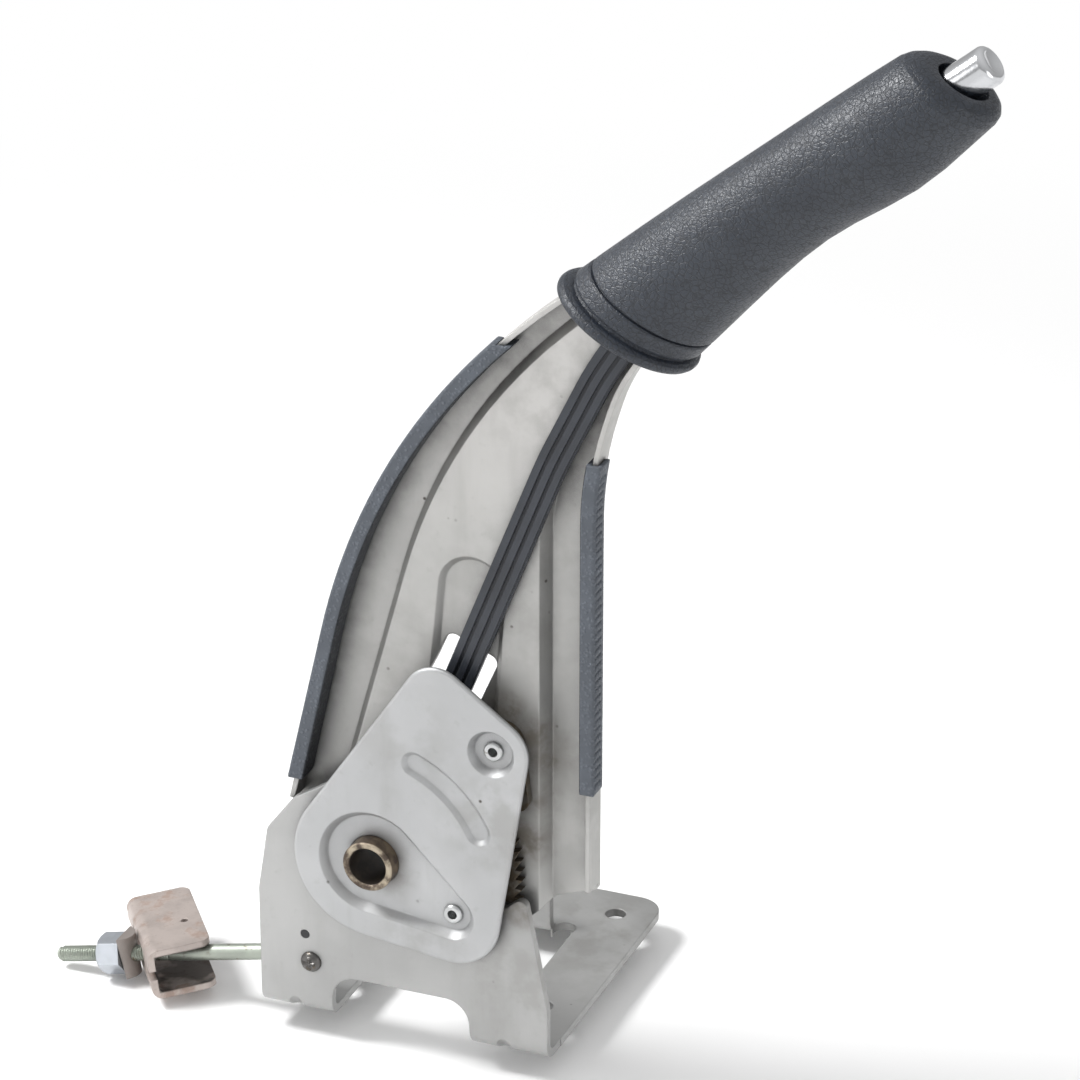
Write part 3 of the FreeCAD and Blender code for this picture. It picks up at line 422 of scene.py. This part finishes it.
def plated_sheet(name, plate, look, grease_and_shade, stains_and_shade, cloud=0.14, clean_from=None):
    """Zinc-plated sheet: soft clouds, rolling lines, dark specks and painted shade in the corners.

    Grease and stains are rows of a place, a reach and a strength; the grease also paints the shadow
    a part casts, and the stains are partly painted shade. Grease is on the front only. Above a
    given height the plate gets a painted highlight.
    """
    s = Shader(name)
    clouds = s.noise(26.0, 4.0)
    fine = s.noise(210.0, 3.0)
    base = s.mix(clouds.ramp(0.32, 0.70), shade(plate, 1.0 - cloud), shade(plate, 1.05))
    # Painted highlight: the plate turns lighter above the given height.
    if clean_from is not None:
        height = s.along(UP, (0.0, 0.0, clean_from))
        base = s.mix(height.ramp(0.0, 0.07) * (1.0 - clouds * 0.5), base, look.clean_colour)
    base = s.mix(fine.ramp(0.60, 0.85) * 0.30, base, look.stain_colour)
    rolled = s.noise(95.0, 4.0, place=s.scaled((1.0, 1.0, 0.16)))
    base = s.mix(rolled.ramp(0.50, 0.78) * 0.25, base, look.stain_colour)
    speck = 1.0 - s.cells(150.0).ramp(0.035, 0.13)
    more = 0.18 * look.speck_share
    base = s.mix(speck * s.noise(60.0, 2.0).ramp(0.60 - more, 0.72 - more), base, look.speck_colour)
    # Dull patches at given places, partly stains and partly painted shade.
    blot = s.noise(85.0, 4.0).ramp(0.38, 0.62)
    dull_and_shade = strongest([s.near(spot, reach, 0.8) * blot * share for spot, reach, share in stains_and_shade])
    base = s.mix(dull_and_shade, base, look.stain_colour)
    smear = s.noise(140.0, 4.0).ramp(0.36, 0.62)
    # Painted shade: the plate is darker where occlusion finds corners and creases.
    corner = s.corners(0.010).ramp(0.10, 0.62)
    base = s.mix(corner * (smear * 0.25 + 0.45), base, look.grime_colour)
    film = smear * 0.55 + 0.45
    # Grease patches; on the arm they also paint the cover's shadow beside its edge.
    wet_and_shade = strongest([s.near(spot, reach, 0.85) * film * share for spot, reach, share in grease_and_shade])
    wet_and_shade = wet_and_shade * s.toward(FRONT).ramp(-0.25, 0.15)
    base = s.mix(wet_and_shade, base, look.grease_colour)
    rough = 0.40 + clouds * 0.16 + fine * 0.08 + wet_and_shade * 0.15
    scratches = s.noise(900.0, 2.0, place=s.scaled((1.0, 1.0, 0.06)))
    normal = s.bump(scratches + fine * 0.6, 0.00004, s.round_edges(look.edge_round))
    return s.finish(Base_Color=base, Roughness=rough, Metallic=0.78 - wet_and_shade * 0.6, Normal=normal)


def plain_metal(name, tone, roughness, metallic, grain, dirt=None, dirt_share=0.0):
    """Bare or plated small metal with a little unevenness and, where given, dirt."""
    s = Shader(name)
    cloud = s.noise(grain * 0.3, 3.0)
    fine = s.noise(grain * 4.0, 3.0)
    base = s.mix(cloud.ramp(0.35, 0.68), shade(tone, 0.86), shade(tone, 1.08))
    if dirt is not None:
        more = 0.3 * dirt_share
        base = s.mix(s.noise(grain, 4.0).ramp(0.66 - more, 0.80 - more), base, dirt)
    normal = s.bump(fine, 0.00003, s.round_edges(0.0003))
    rough = roughness + fine * 0.10
    return s.finish(Base_Color=base, Roughness=rough, Metallic=metallic, Normal=normal)


def moulded(name, tone, roughness, grain=1400.0, depth=0.00003, lift=1.25):
    """Moulded plastic with a fine spark-eroded surface."""
    s = Shader(name)
    cloud = s.noise(60.0, 3.0)
    fine = s.noise(grain, 2.0)
    base = s.mix(cloud.ramp(0.35, 0.70), tone, shade(tone, lift))
    normal = s.bump(fine, depth, s.round_edges(0.0004))
    rough = roughness + cloud * 0.08
    return s.finish(Base_Color=base, Roughness=rough, Metallic=0.0, Normal=normal)


def leather_grain(name, look):
    """Charcoal skin with a crinkled leather grain, smoother where hands have worn it."""
    s = Shader(name)
    drift = s.node(
        "ShaderNodeTexNoise", {}, Vector=s.place, Scale=330.0, Detail=2.0, output="Color"
    )
    bent = s.vector("MULTIPLY_ADD", drift, [look.grain_size * 0.9] * 3, s.place)
    scale = 1.0 / look.grain_size
    large = s.cells(scale, bent, "DISTANCE_TO_EDGE").ramp(0.0, 0.14)
    small = s.cells(scale * 2.1, bent, "DISTANCE_TO_EDGE").ramp(0.0, 0.18)
    pad = large * 0.65 + small * 0.35
    wear = s.noise(42.0, 3.0).ramp(0.38, 0.72)
    swell = s.noise(120.0, 3.0)
    base = s.mix(wear, look.skin_colour, look.worn_colour)
    base = s.mix((1.0 - pad) * 0.85, base, shade(look.skin_colour, 0.30))
    normal = s.bump(pad + swell * 0.5, 0.00011, s.round_edges(0.0006))
    rough = 0.34 + (1.0 - wear) * 0.06 + (1.0 - pad) * 0.2
    return s.finish(
        Base_Color=base, Roughness=rough, Metallic=0.0, Specular_IOR_Level=0.6, Normal=normal
    )


def pimpled_rubber(name, look, shaded_side):
    """Rubber edging with rows of fine pimples, dusty, scuffed, and painted black with shade on its
    inner side.
    """
    s = Shader(name)
    high = 1.0 - s.cells(1.0 / look.nub_pitch).ramp(0.10, 0.55)
    dust = s.noise(90.0, 4.0).ramp(0.45, 0.75)
    rubber = look.rubber_colour
    base = s.mix(high * 0.35 + dust * 0.25, rubber, shade(rubber, 1.9))
    scuff = s.noise(520.0, 4.0, 0.7).ramp(0.62, 0.74) * s.noise(48.0, 2.0).ramp(0.48, 0.60)
    base = s.mix(scuff * 0.7, base, shade(rubber, 4.2))
    # Painted shade: the inner side is darkened to near black.
    base = s.mix(s.toward(shaded_side).ramp(0.35, 0.75) * 0.85, base, shade(rubber, 0.16))
    normal = s.bump(high, 0.00022, s.round_edges(0.0004))
    return s.finish(Base_Color=base, Roughness=0.60 - high * 0.12, Metallic=0.0, Normal=normal)


def rusted_yoke(name, look, seat, upright, inwards):
    """Plated sheet gone brown in patches, with painted shade that makes it black inside the fold.
    """
    s = Shader(name)
    cloud = s.noise(95.0, 5.0, 0.62)
    fine = s.noise(620.0, 4.0)
    base = s.mix(cloud.ramp(0.35, 0.60), look.yoke_colour, shade(look.yoke_colour, 1.22))
    elsewhere = s.scaled((1.0, 1.0, 1.0), (0.31, 0.0, 0.0))
    rust = s.noise(120.0, 5.0, 0.65, elsewhere).ramp(0.50, 0.66)
    base = s.mix(rust * 0.6, base, look.rust_colour)
    base = s.mix(fine.ramp(0.62, 0.78) * 0.4, base, look.pit_colour)
    soft = 0.0004
    level = s.along(upright, seat).size().ramp(look.fold_half - soft, look.fold_half + soft)
    depth = s.along(inwards, seat).ramp(look.fold_reach - soft, look.fold_reach + soft)
    inside = (1.0 - level) * depth
    # Painted shade: near black inside the fold.
    grease_and_shade = inside * (1.0 - s.noise(70.0, 3.0).ramp(0.52, 0.66) * 0.6)
    base = s.mix(grease_and_shade * 0.9, base, look.fold_colour)
    normal = s.bump(fine + cloud, 0.00009, s.round_edges(0.0006))
    rough = 0.42 + rust * 0.25 + inside * 0.10
    return s.finish(Base_Color=base, Roughness=rough, Metallic=0.55 - rust * 0.35, Normal=normal)


def greasy_tube(name, look, mouth):
    """Brown pivot tube with a rubbed pale rim and painted shade that makes its bore black."""
    s = Shader(name)
    across = (0.0, 1.0, 0.0)
    cloud = s.noise(230.0, 4.0)
    fine = s.noise(1200.0, 3.0)
    base = s.mix(cloud.ramp(0.38, 0.66), look.tube_dark_colour, look.tube_colour)
    rim = 1.0 - s.along(across, mouth).ramp(0.0002, 0.0008)
    base = s.mix(rim * cloud.ramp(0.36, 0.62), base, look.rim_colour)
    out = s.from_axis(across, mouth)
    # Painted shade: black on the bore's wall.
    bore_shade = 1.0 - out.ramp(look.bore_radius - 0.0001, look.bore_radius + 0.0002)
    base = s.mix(bore_shade, base, look.bore_colour)
    normal = s.bump(fine + cloud, 0.00004, s.round_edges(0.0003))
    rough = 0.38 + cloud * 0.2
    return s.finish(Base_Color=base, Roughness=rough, Metallic=0.75 - bore_shade * 0.6, Normal=normal)


def dress(material, *nodes):
    """Give CAD nodes a finish."""
    for name in nodes:
        slots = frame["nodes"][name].data.materials
        slots.clear()
        slots.append(material)


# Frame and mesh helpers


def stated(joint):
    """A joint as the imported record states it."""
    return next(j for j in frame["record"]["behaviour"]["joints"] if j["name"] == joint)


def stated_axis(joint):
    """A joint's point and direction."""
    return Vector(stated(joint)["pos_m"]), Vector(stated(joint)["axis"]).normalized()


def reach_of(node, spot, along):
    """Lowest and highest reach of a node from a spot in a direction."""
    reaches = [(v.co - spot).dot(along) for v in frame["nodes"][node].data.vertices]
    return min(reaches), max(reaches)


def middle_of(node):
    """Middle of a node's box."""
    low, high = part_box(node)
    return (low + high) / 2


def copy_of(node):
    """A copy of a node's mesh to work on, with its loose triangles merged."""
    bm = bmesh.new()
    bm.from_mesh(frame["nodes"][node].data)
    bmesh.ops.remove_doubles(bm, verts=bm.verts[:], dist=MERGE)
    return bm


def quarter_round():
    """Sines and cosines of nine steps through a quarter turn."""
    return [(math.sin(a), math.cos(a)) for a in (math.pi / 16 * step for step in range(9))]


def turned(bm, profile, steps):
    """Turn a profile of (reach, radius) points about the upright axis."""
    points = [bm.verts.new((radius, 0.0, reach)) for reach, radius in profile]
    edges = [bm.edges.new(pair) for pair in zip(points, points[1:])]
    bmesh.ops.spin(
        bm, geom=points + edges, cent=ORIGIN, axis=UP, angle=math.tau, steps=steps, use_merge=True
    )
    bmesh.ops.remove_doubles(bm, verts=bm.verts[:], dist=MERGE)
    bmesh.ops.recalc_face_normals(bm, faces=bm.faces[:])


def stand_along(bm, spot, along):
    """Move a mesh made about the upright axis to a spot, turned into a direction."""
    turn = Vector(UP).rotation_difference(along).to_matrix().to_4x4()
    bmesh.ops.transform(bm, matrix=Matrix.Translation(spot) @ turn, verts=bm.verts[:])


def add_piece(name, bm, material, body, crisp=35.0):
    """Make a finished object of a mesh, riding on a body.

    Edges that turn by more than crisp degrees stay sharp, and the rest are smooth.
    """
    for face in bm.faces:
        face.smooth = True
    for edge in bm.edges:
        if edge.is_manifold and edge.calc_face_angle() > math.radians(crisp):
            edge.smooth = False
    mesh = bpy.data.meshes.new(name)
    bm.to_mesh(mesh)
    bm.free()
    mesh.materials.append(material)
    made = bpy.data.objects.new(name, mesh)
    bpy.context.scene.collection.objects.link(made)
    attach(made, body)
    return made


def patches(origin, *rows):
    """Dirt at places from an origin: rows of an offset, a reach and a strength."""
    return [(Vector(origin) + Vector(offset), reach, share) for offset, reach, share in rows]


# Operators


class DressSheet(bpy.types.Operator):
    """Finish the arm, cover and bracket as zinc-plated sheet"""

    bl_idname = "brake_lever.dress_sheet"
    bl_label = "Plated sheet"

    def execute(self, context):
        look = context.scene.brake_sheet
        sector_low, sector_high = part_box("ratchet_sector")
        teeth = Vector((sector_high.x, sector_low.y, (sector_low.z + sector_high.z) / 2))
        hub = middle_of("pivot_tube")
        pin = middle_of("pawl_pin")
        arm = plated_sheet(
            "arm_plate", look.arm_colour, look,
            # Grease, and the cover's painted shadow along its right edge.
            grease_and_shade=patches(
                pin,
                ((0.001, 0.003, 0.011), 0.011, 0.75),
                ((0.010, 0.003, 0.005), 0.011, 0.70),
                ((0.015, 0.006, -0.004), 0.012, 0.55),
                ((0.011, 0.003, -0.020), 0.012, 0.45),
                ((0.008, 0.003, -0.036), 0.013, 0.75),
            ),
            # Dull patches, partly painted shade on the arm.
            stains_and_shade=patches(
                ORIGIN,
                ((0.055, -0.06, 0.245), 0.045, 0.35),
                ((0.0, -0.06, 0.140), 0.040, 0.30),
                ((0.045, -0.06, 0.170), 0.045, 0.35),
                ((0.058, -0.056, 0.100), 0.040, 0.35),
            ),
            # Painted highlight on the arm's top.
            clean_from=look.clean_from,
        )
        cover = plated_sheet(
            "cover_plate_finish", look.cover_colour, look,
            grease_and_shade=patches(hub, ((0.006, -0.012, -0.004), 0.014, 0.45)),
            stains_and_shade=[
                *patches(ORIGIN, ((0.004, -0.068, 0.115), 0.030, 0.3)),
                *patches(pin, ((0.002, -0.006, -0.026), 0.030, 0.45)),
                *patches(hub, ((0.018, -0.012, -0.030), 0.026, 0.35)),
            ],
            cloud=0.08,
        )
        bracket = plated_sheet(
            "bracket_plate", look.bracket_colour, look,
            grease_and_shade=patches(teeth, ((0.0, -0.004, -0.016), 0.010, 0.6)),
            # Dull patches, partly painted shade.
            stains_and_shade=patches(
                ORIGIN,
                ((0.048, -0.064, 0.030), 0.035, 0.40),
                ((0.045, 0.02, 0.003), 0.050, 0.5),
            ),
        )
        dress(arm, "lever_arm")
        dress(cover, "cover_plate")
        dress(bracket, "base_bracket")
        return {"FINISHED"}


class DressPivot(bpy.types.Operator):
    """Finish the pivot, ratchet, pawl, rivets and switch"""

    bl_idname = "brake_lever.dress_pivot"
    bl_label = "Pivot and ratchet"

    def execute(self, context):
        look = context.scene.brake_pivot
        grease_and_shade = context.scene.brake_sheet.grease_colour
        mouth = middle_of("pivot_tube")
        mouth.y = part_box("pivot_tube")[0].y
        dress(greasy_tube("pivot_tube_steel", look, mouth), "pivot_tube")
        dress(
            plain_metal("ratchet_steel", look.ratchet_colour, 0.42, 0.75, 260.0, grease_and_shade, 0.8),
            "ratchet_sector", "pawl",
        )
        dress(
            plain_metal("washer_steel", look.washer_colour, 0.36, 0.85, 240.0, grease_and_shade, 0.6),
            "pivot_washer",
        )
        dress(
            plain_metal("seat_steel", look.seat_colour, 0.45, 0.5, 200.0, grease_and_shade, 0.25),
            "seat_washer",
        )
        dress(
            plain_metal("rivet_steel", look.rivet_colour, 0.30, 0.92, 420.0, grease_and_shade, 0.2),
            "sector_rivets", "pawl_pin", "stop_rivet", "pull_pin",
        )
        wire = plain_metal("spring_wire", look.wire_colour, 0.32, 0.9, 500.0)
        dress(wire, "pawl_spring", "pull_pin_clip")
        self.press_spring(wire)
        dark = plain_metal("screw_steel", look.screw_colour, 0.30, 0.85, 400.0, grease_and_shade, 0.4)
        self.turn_screw(look, dark)
        dress(plain_metal("blade_brass", look.blade_colour, 0.35, 0.95, 400.0), "switch_terminal")
        dress(moulded("switch_case", look.case_colour, 0.48), "switch_body")
        dress(moulded("switch_button", look.plunger_colour, 0.40), "switch_plunger")
        dress(moulded("bearing_bush", look.bush_colour, 0.45), "pivot_bush")
        return {"FINISHED"}

    def press_spring(self, wire):
        """Button spring: a smoothed copy of the packed spring, riding on the lever."""
        spot, inwards = stated_axis("button_press")
        low, high = reach_of("button_spring", spot, -inwards)
        travel = stated("button_press")["range_m"][1]
        made = add_piece(
            "return_spring", copy_of("button_spring"), wire, "lever", 60.0
        )
        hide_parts("button_spring")
        spot - inwards * low
        (high - low - travel) / (high - low)
        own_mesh(made)

    def turn_screw(self, look, dark):
        """Domed screw with a cross recess."""
        low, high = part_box("switch_screw")
        spot = middle_of("switch_screw")
        spot.y = high.y
        head_radius = (high.x - low.x) / 2
        seat = high.y - low.y - look.screw_head
        rim = 0.0003
        profile = [(0.0, 0.0), (0.0, look.screw_shank), (seat, look.screw_shank)]
        profile.append((seat, head_radius))
        for sine, cosine in quarter_round():
            profile.append((seat + rim + (look.screw_head - rim) * sine, head_radius * cosine))
        bm = bmesh.new()
        turned(bm, profile, 32)
        cross_half = 0.0005
        cross_reach = head_radius * 0.62
        cross_core = head_radius * 0.15
        recess = []
        for face in bm.faces:
            middle = face.calc_center_median()
            out = math.hypot(middle.x, middle.y)
            in_cross = min(abs(middle.x), abs(middle.y)) < cross_half or out < cross_core
            if middle.z > seat and out < cross_reach and in_cross:
                recess.append(face)
        pushed = bmesh.ops.extrude_face_region(bm, geom=recess)
        moved = [item for item in pushed["geom"] if isinstance(item, bmesh.types.BMVert)]
        bmesh.ops.translate(bm, verts=moved, vec=(0.0, 0.0, -look.screw_recess))
        bmesh.ops.recalc_face_normals(bm, faces=bm.faces[:])
        stand_along(bm, spot, Vector(FRONT))
        made = add_piece("cross_screw", bm, dark, "bracket")
        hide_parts("switch_screw")


class DressGrip(bpy.types.Operator):
    """Finish the grip, its button and the release strip"""

    bl_idname = "brake_lever.dress_grip"
    bl_label = "Grip and button"

    def execute(self, context):
        look = context.scene.brake_grip
        dress(leather_grain("grip_leather", look), "grip")
        strip = moulded("strip_plastic", look.strip_colour, 0.36, 900.0, 0.00002, 1.4)
        dress(strip, "release_strip")
        dress(moulded("guide_plastic", look.guide_colour, 0.5), "button_guide")
        self.turn_button(look, plain_metal("button_chrome", look.chrome_colour, 0.10, 1.0, 120.0))
        return {"FINISHED"}

    def turn_button(self, look, chrome):
        """Push button with a rounded edge, a dished end and its rod."""
        spot, inwards = stated_axis("button_press")
        low, tip = reach_of("push_button", spot, -inwards)
        points = [v.co - spot for v in frame["nodes"]["push_button"].data.vertices]
        radius = max((p - inwards * p.dot(inwards)).length for p in points)
        face = radius - look.button_round
        profile = [
            (tip - look.button_dish, 0.0),
            (tip - look.button_dish * 0.8, face * 0.45),
            (tip - look.button_dish * 0.3, face * 0.8),
            (tip - 0.0001, face * 0.95),
        ]
        for sine, cosine in quarter_round():
            drop = look.button_round * (1.0 - cosine)
            profile.append((tip - drop, face + look.button_round * sine))
        profile += [(tip - look.button_head, radius), (tip - look.button_head, look.button_rod)]
        profile += [(low, look.button_rod), (low, 0.0)]
        bm = bmesh.new()
        turned(bm, profile, 64)
        stand_along(bm, spot, -inwards)
        made = add_piece("chromed_button", bm, chrome, "button", 50.0)
        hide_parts("push_button")


class DressTrims(bpy.types.Operator):
    """Finish the rubber edging"""

    bl_idname = "brake_lever.dress_trims"
    bl_label = "Rubber edging"

    def execute(self, context):
        look = context.scene.brake_trim
        left = pimpled_rubber("left_edge_rubber", look, shaded_side=(0.87, 0.0, -0.5))
        right = pimpled_rubber("right_edge_rubber", look, shaded_side=(-1.0, 0.0, 0.0))
        dress(left, "left_edge_trim")
        dress(right, "right_edge_trim")
        for name in ("left_edge_trim", "right_edge_trim"):
            self.round_lips(frame["nodes"][name], look.lip_round)
        self.set_bumps(look, right)
        return {"FINISHED"}

    def round_lips(self, piece, width):
        """Round an edging's corners, with its loose triangles merged first."""
        weld = piece.modifiers.new("weld", "WELD")
        weld.merge_threshold = 0.00001
        bevel = piece.modifiers.new("round", "BEVEL")
        bevel.width = width
        bevel.segments = 3
        bevel.limit_method = "ANGLE"
        bevel.angle_limit = math.radians(40.0)

    def set_bumps(self, look, rubber):
        """Three rows of flat bumps along the outer wall of the right edging."""
        low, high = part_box("right_edge_trim")
        mesh = frame["nodes"]["right_edge_trim"].data
        faces = [p.vertices for p in mesh.polygons]
        wall = BVHTree.FromPolygons([v.co for v in mesh.vertices], faces)
        inwards = Vector((-1.0, 0.0, 0.0))
        flattened = Matrix.Diagonal((0.35, 0.75, 0.85, 1.0))
        rows = [low.y + (high.y - low.y) * share for share in (0.22, 0.42, 0.62)]
        bm = bmesh.new()
        for step in range(1, int((high.z - low.z) / look.bump_pitch)):
            level = low.z + look.bump_pitch * step
            for row in rows:
                spot = wall.ray_cast(Vector((high.x + 0.01, row, level)), inwards)[0]
                if spot is None:
                    raise RuntimeError("no edging wall at height %.4f" % level)
                bmesh.ops.create_icosphere(
                    bm, subdivisions=2, radius=look.bump_pitch * 0.5,
                    matrix=Matrix.Translation(spot) @ flattened,
                )
        add_piece("right_edge_bumps", bm, rubber, "lever")


class DressCableEnd(bpy.types.Operator):
    """Finish the rod, nut and yoke"""

    bl_idname = "brake_lever.dress_cable_end"
    bl_label = "Cable end"

    def execute(self, context):
        look = context.scene.brake_cable_end
        dress(plain_metal("nut_plate", look.nut_colour, 0.26, 0.85, 300.0), "adjusting_nut")
        seat, upright = stated_axis("yoke_sway")
        tilt = Vector(UP).rotation_difference(upright)
        inwards = tilt @ Vector((math.cos(look.yoke_yaw), math.sin(look.yoke_yaw), 0.0))
        dress(rusted_yoke("yoke_plate", look, seat, upright, inwards), "equaliser_yoke")
        plate = plain_metal(
            "rod_plate", look.rod_colour, 0.36, 0.75, 260.0, look.rod_dirt_colour, 0.25
        )
        self.thread_rod(look, plate)
        return {"FINISHED"}

    def thread_rod(self, look, plate):
        """Pull rod with its eye and plain shank as packed and a real thread at its tip."""
        spot, inwards = stated_axis("seat_travel")
        along = -inwards
        tip = reach_of("pull_rod", spot, along)[1]
        start = tip - look.thread_length
        bm = copy_of("pull_rod")
        cut = bmesh.ops.bisect_plane(
            bm, geom=bm.verts[:] + bm.edges[:] + bm.faces[:], dist=1e-7,
            plane_co=spot + along * start, plane_no=along, clear_outer=True,
        )
        rim = [item for item in cut["geom_cut"] if isinstance(item, bmesh.types.BMEdge)]
        bmesh.ops.holes_fill(bm, edges=rim, sides=0)
        shank = bpy.data.meshes.new("shank")
        bm.to_mesh(shank)
        bm.free()
        bm = bmesh.new()
        root = look.rod_radius - look.thread_depth
        nose = 0.0007
        profile = [(start, 0.0), (start, root), (tip - nose, root), (tip, root - nose), (tip, 0.0)]
        turned(bm, profile, 32)
        self.wind_ridge(bm, look, start, tip - nose, root)
        stand_along(bm, spot, along)
        bm.from_mesh(shank)
        bpy.data.meshes.remove(shank)
        made = add_piece("threaded_rod", bm, plate, "rod", 30.0)
        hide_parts("pull_rod")

    def wind_ridge(self, bm, look, start, end, root):
        """Thread ridge wound round the root, closed at both ends."""
        steps_per_turn = 20
        turns = int((end - start) / look.thread_pitch) - 1
        foot = root - 0.0001
        corners = ((foot, 0.0), (look.rod_radius, 0.5), (foot, 1.0))
        points = [bm.verts.new((r, 0.0, start + share * look.thread_pitch)) for r, share in corners]
        loop = [bm.edges.new((points[i - 1], points[i])) for i in range(3)]
        before = set(bm.faces)
        bmesh.ops.spin(
            bm, geom=points + loop, cent=ORIGIN, axis=UP,
            dvec=(0.0, 0.0, look.thread_pitch / steps_per_turn), angle=math.tau * turns,
            steps=steps_per_turn * turns, use_merge=False,
        )
        wound = [f for f in bm.faces if f not in before]
        ends = {e for f in wound for e in f.edges if e.is_boundary}
        capped = bmesh.ops.holes_fill(bm, edges=list(ends), sides=3)
        bmesh.ops.recalc_face_normals(bm, faces=wound + capped["faces"])


class SetStage(bpy.types.Operator):
    """Make the floor, backdrop, lamps and camera"""

    bl_idname = "brake_lever.set_stage"
    bl_label = "Stage"

    def execute(self, context):
        look = context.scene.brake_stage
        low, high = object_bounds()
        middle = (low + high) / 2
        floor = self.make_floor(middle, low.z, look)
        floor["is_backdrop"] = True
        self.make_lamp("key_lamp", middle, (-0.72, -0.24, 0.80), 0.36, look.key_power)
        self.make_lamp("fill_lamp", middle, (-0.9, -0.9, 0.25), 0.8, look.fill_power)
        self.make_lamp("side_lamp", middle, (1.1, -0.55, 0.15), 0.8, look.side_power)
        self.make_world(look)
        self.make_camera(look)
        return {"FINISHED"}

    def make_floor(self, centre, height, look):
        """Floor that shows the shadow close by and plain white further out."""
        below = 0.0005
        bm = bmesh.new()
        bmesh.ops.create_grid(
            bm, x_segments=1, y_segments=1, size=look.floor_reach,
            matrix=Matrix.Translation((0.0, 0.0, height - below)),
        )
        mesh = bpy.data.meshes.new("floor")
        bm.to_mesh(mesh)
        bm.free()
        floor = bpy.data.objects.new("floor", mesh)
        bpy.context.scene.collection.objects.link(floor)
        s = Shader("floor_paper")
        mesh.materials.append(s.finish(Base_Color=look.floor_colour, Roughness=0.9))
        rays = s.node("ShaderNodeLightPath", {}, output="Is Camera Ray")
        for kind in ("Is Glossy Ray", "Is Transmission Ray"):
            rays = rays.most(s.node("ShaderNodeLightPath", {}, output=kind))
        far = s.from_axis(UP, centre).ramp(look.near_floor, look.far_floor)
        s.cover_with(rays * far, s.node("ShaderNodeEmission", {}, WHITE, 1.0))
        return floor

    def make_lamp(self, name, middle, offset, size, watts):
        """Round lamp at an offset from the lever's middle, aimed at it."""
        lamp = bpy.data.lights.new(name, "AREA")
        lamp.shape = "DISK"
        lamp.size = size
        lamp.energy = watts
        holder = bpy.data.objects.new(name, lamp)
        holder.location = middle + Vector(offset)
        holder.rotation_euler = (-Vector(offset)).to_track_quat("-Z", "Y").to_euler()
        bpy.context.scene.collection.objects.link(holder)

    def make_world(self, look):
        """White sky, brighter towards straight above."""
        world = bpy.data.worlds.new("studio")
        world.use_nodes = True
        sky = Nodes(world.node_tree)
        heading = sky.node("ShaderNodeTexCoord", {}, output="Generated")
        rise = sky.node("ShaderNodeSeparateXYZ", {}, heading, output="Z")
        light = sky.node(
            "ShaderNodeMapRange", {}, rise, To_Min=look.horizon_strength, To_Max=look.sky_strength
        )
        background = world.node_tree.nodes["Background"]
        sky.fill(background.inputs["Color"], WHITE)
        sky.fill(background.inputs["Strength"], light)
        bpy.context.scene.world = world

    def make_camera(self, look):
        data = bpy.data.cameras.new("camera")
        data.lens = look.lens
        data.sensor_width = 36.0
        data.clip_start = 0.05
        data.clip_end = 30.0
        camera = bpy.data.objects.new("camera", data)
        flat = math.cos(look.elevation)
        back = Vector((
            math.sin(look.azimuth) * flat, -math.cos(look.azimuth) * flat, math.sin(look.elevation)
        ))
        camera.location = Vector(look.aim) + back * look.distance
        camera.rotation_mode = "QUATERNION"
        camera.rotation_quaternion = (-back).to_track_quat("-Z", "Y")
        bpy.context.scene.collection.objects.link(camera)
        bpy.context.scene.camera = camera
        bpy.context.scene.view_settings.view_transform = "Standard"


class LeverPanel(bpy.types.Panel):
    """The operators in order, and their settings"""

    bl_idname = "VIEW3D_PT_brake_lever"
    bl_label = "Brake lever"
    bl_space_type = "VIEW_3D"
    bl_region_type = "UI"
    bl_category = "Brake lever"

    def draw(self, context):
        for step in STEPS:
            self.layout.operator(step.bl_idname)
        for name in SETTINGS:
            box = self.layout.box()
            group = getattr(context.scene, name)
            for key in group.__annotations__:
                box.prop(group, key)


SETTINGS = {
    "brake_sheet": SheetSettings,
    "brake_pivot": PivotSettings,
    "brake_grip": GripSettings,
    "brake_trim": TrimSettings,
    "brake_cable_end": CableEndSettings,
    "brake_stage": StageSettings,
}
STEPS = (DressSheet, DressPivot, DressGrip, DressTrims, DressCableEnd, SetStage)


def register():
    for cls in (*SETTINGS.values(), *STEPS, LeverPanel):
        bpy.utils.register_class(cls)
    for name, cls in SETTINGS.items():
        setattr(bpy.types.Scene, name, PointerProperty(type=cls))


def unregister():
    for name in SETTINGS:
        delattr(bpy.types.Scene, name)
    for cls in reversed((*SETTINGS.values(), *STEPS, LeverPanel)):
        bpy.utils.unregister_class(cls)


def main():
    register()
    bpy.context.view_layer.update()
    for step in STEPS:
        getattr(bpy.ops.brake_lever, step.bl_idname.split(".")[1])()


if __name__ == "__main__":
    main()
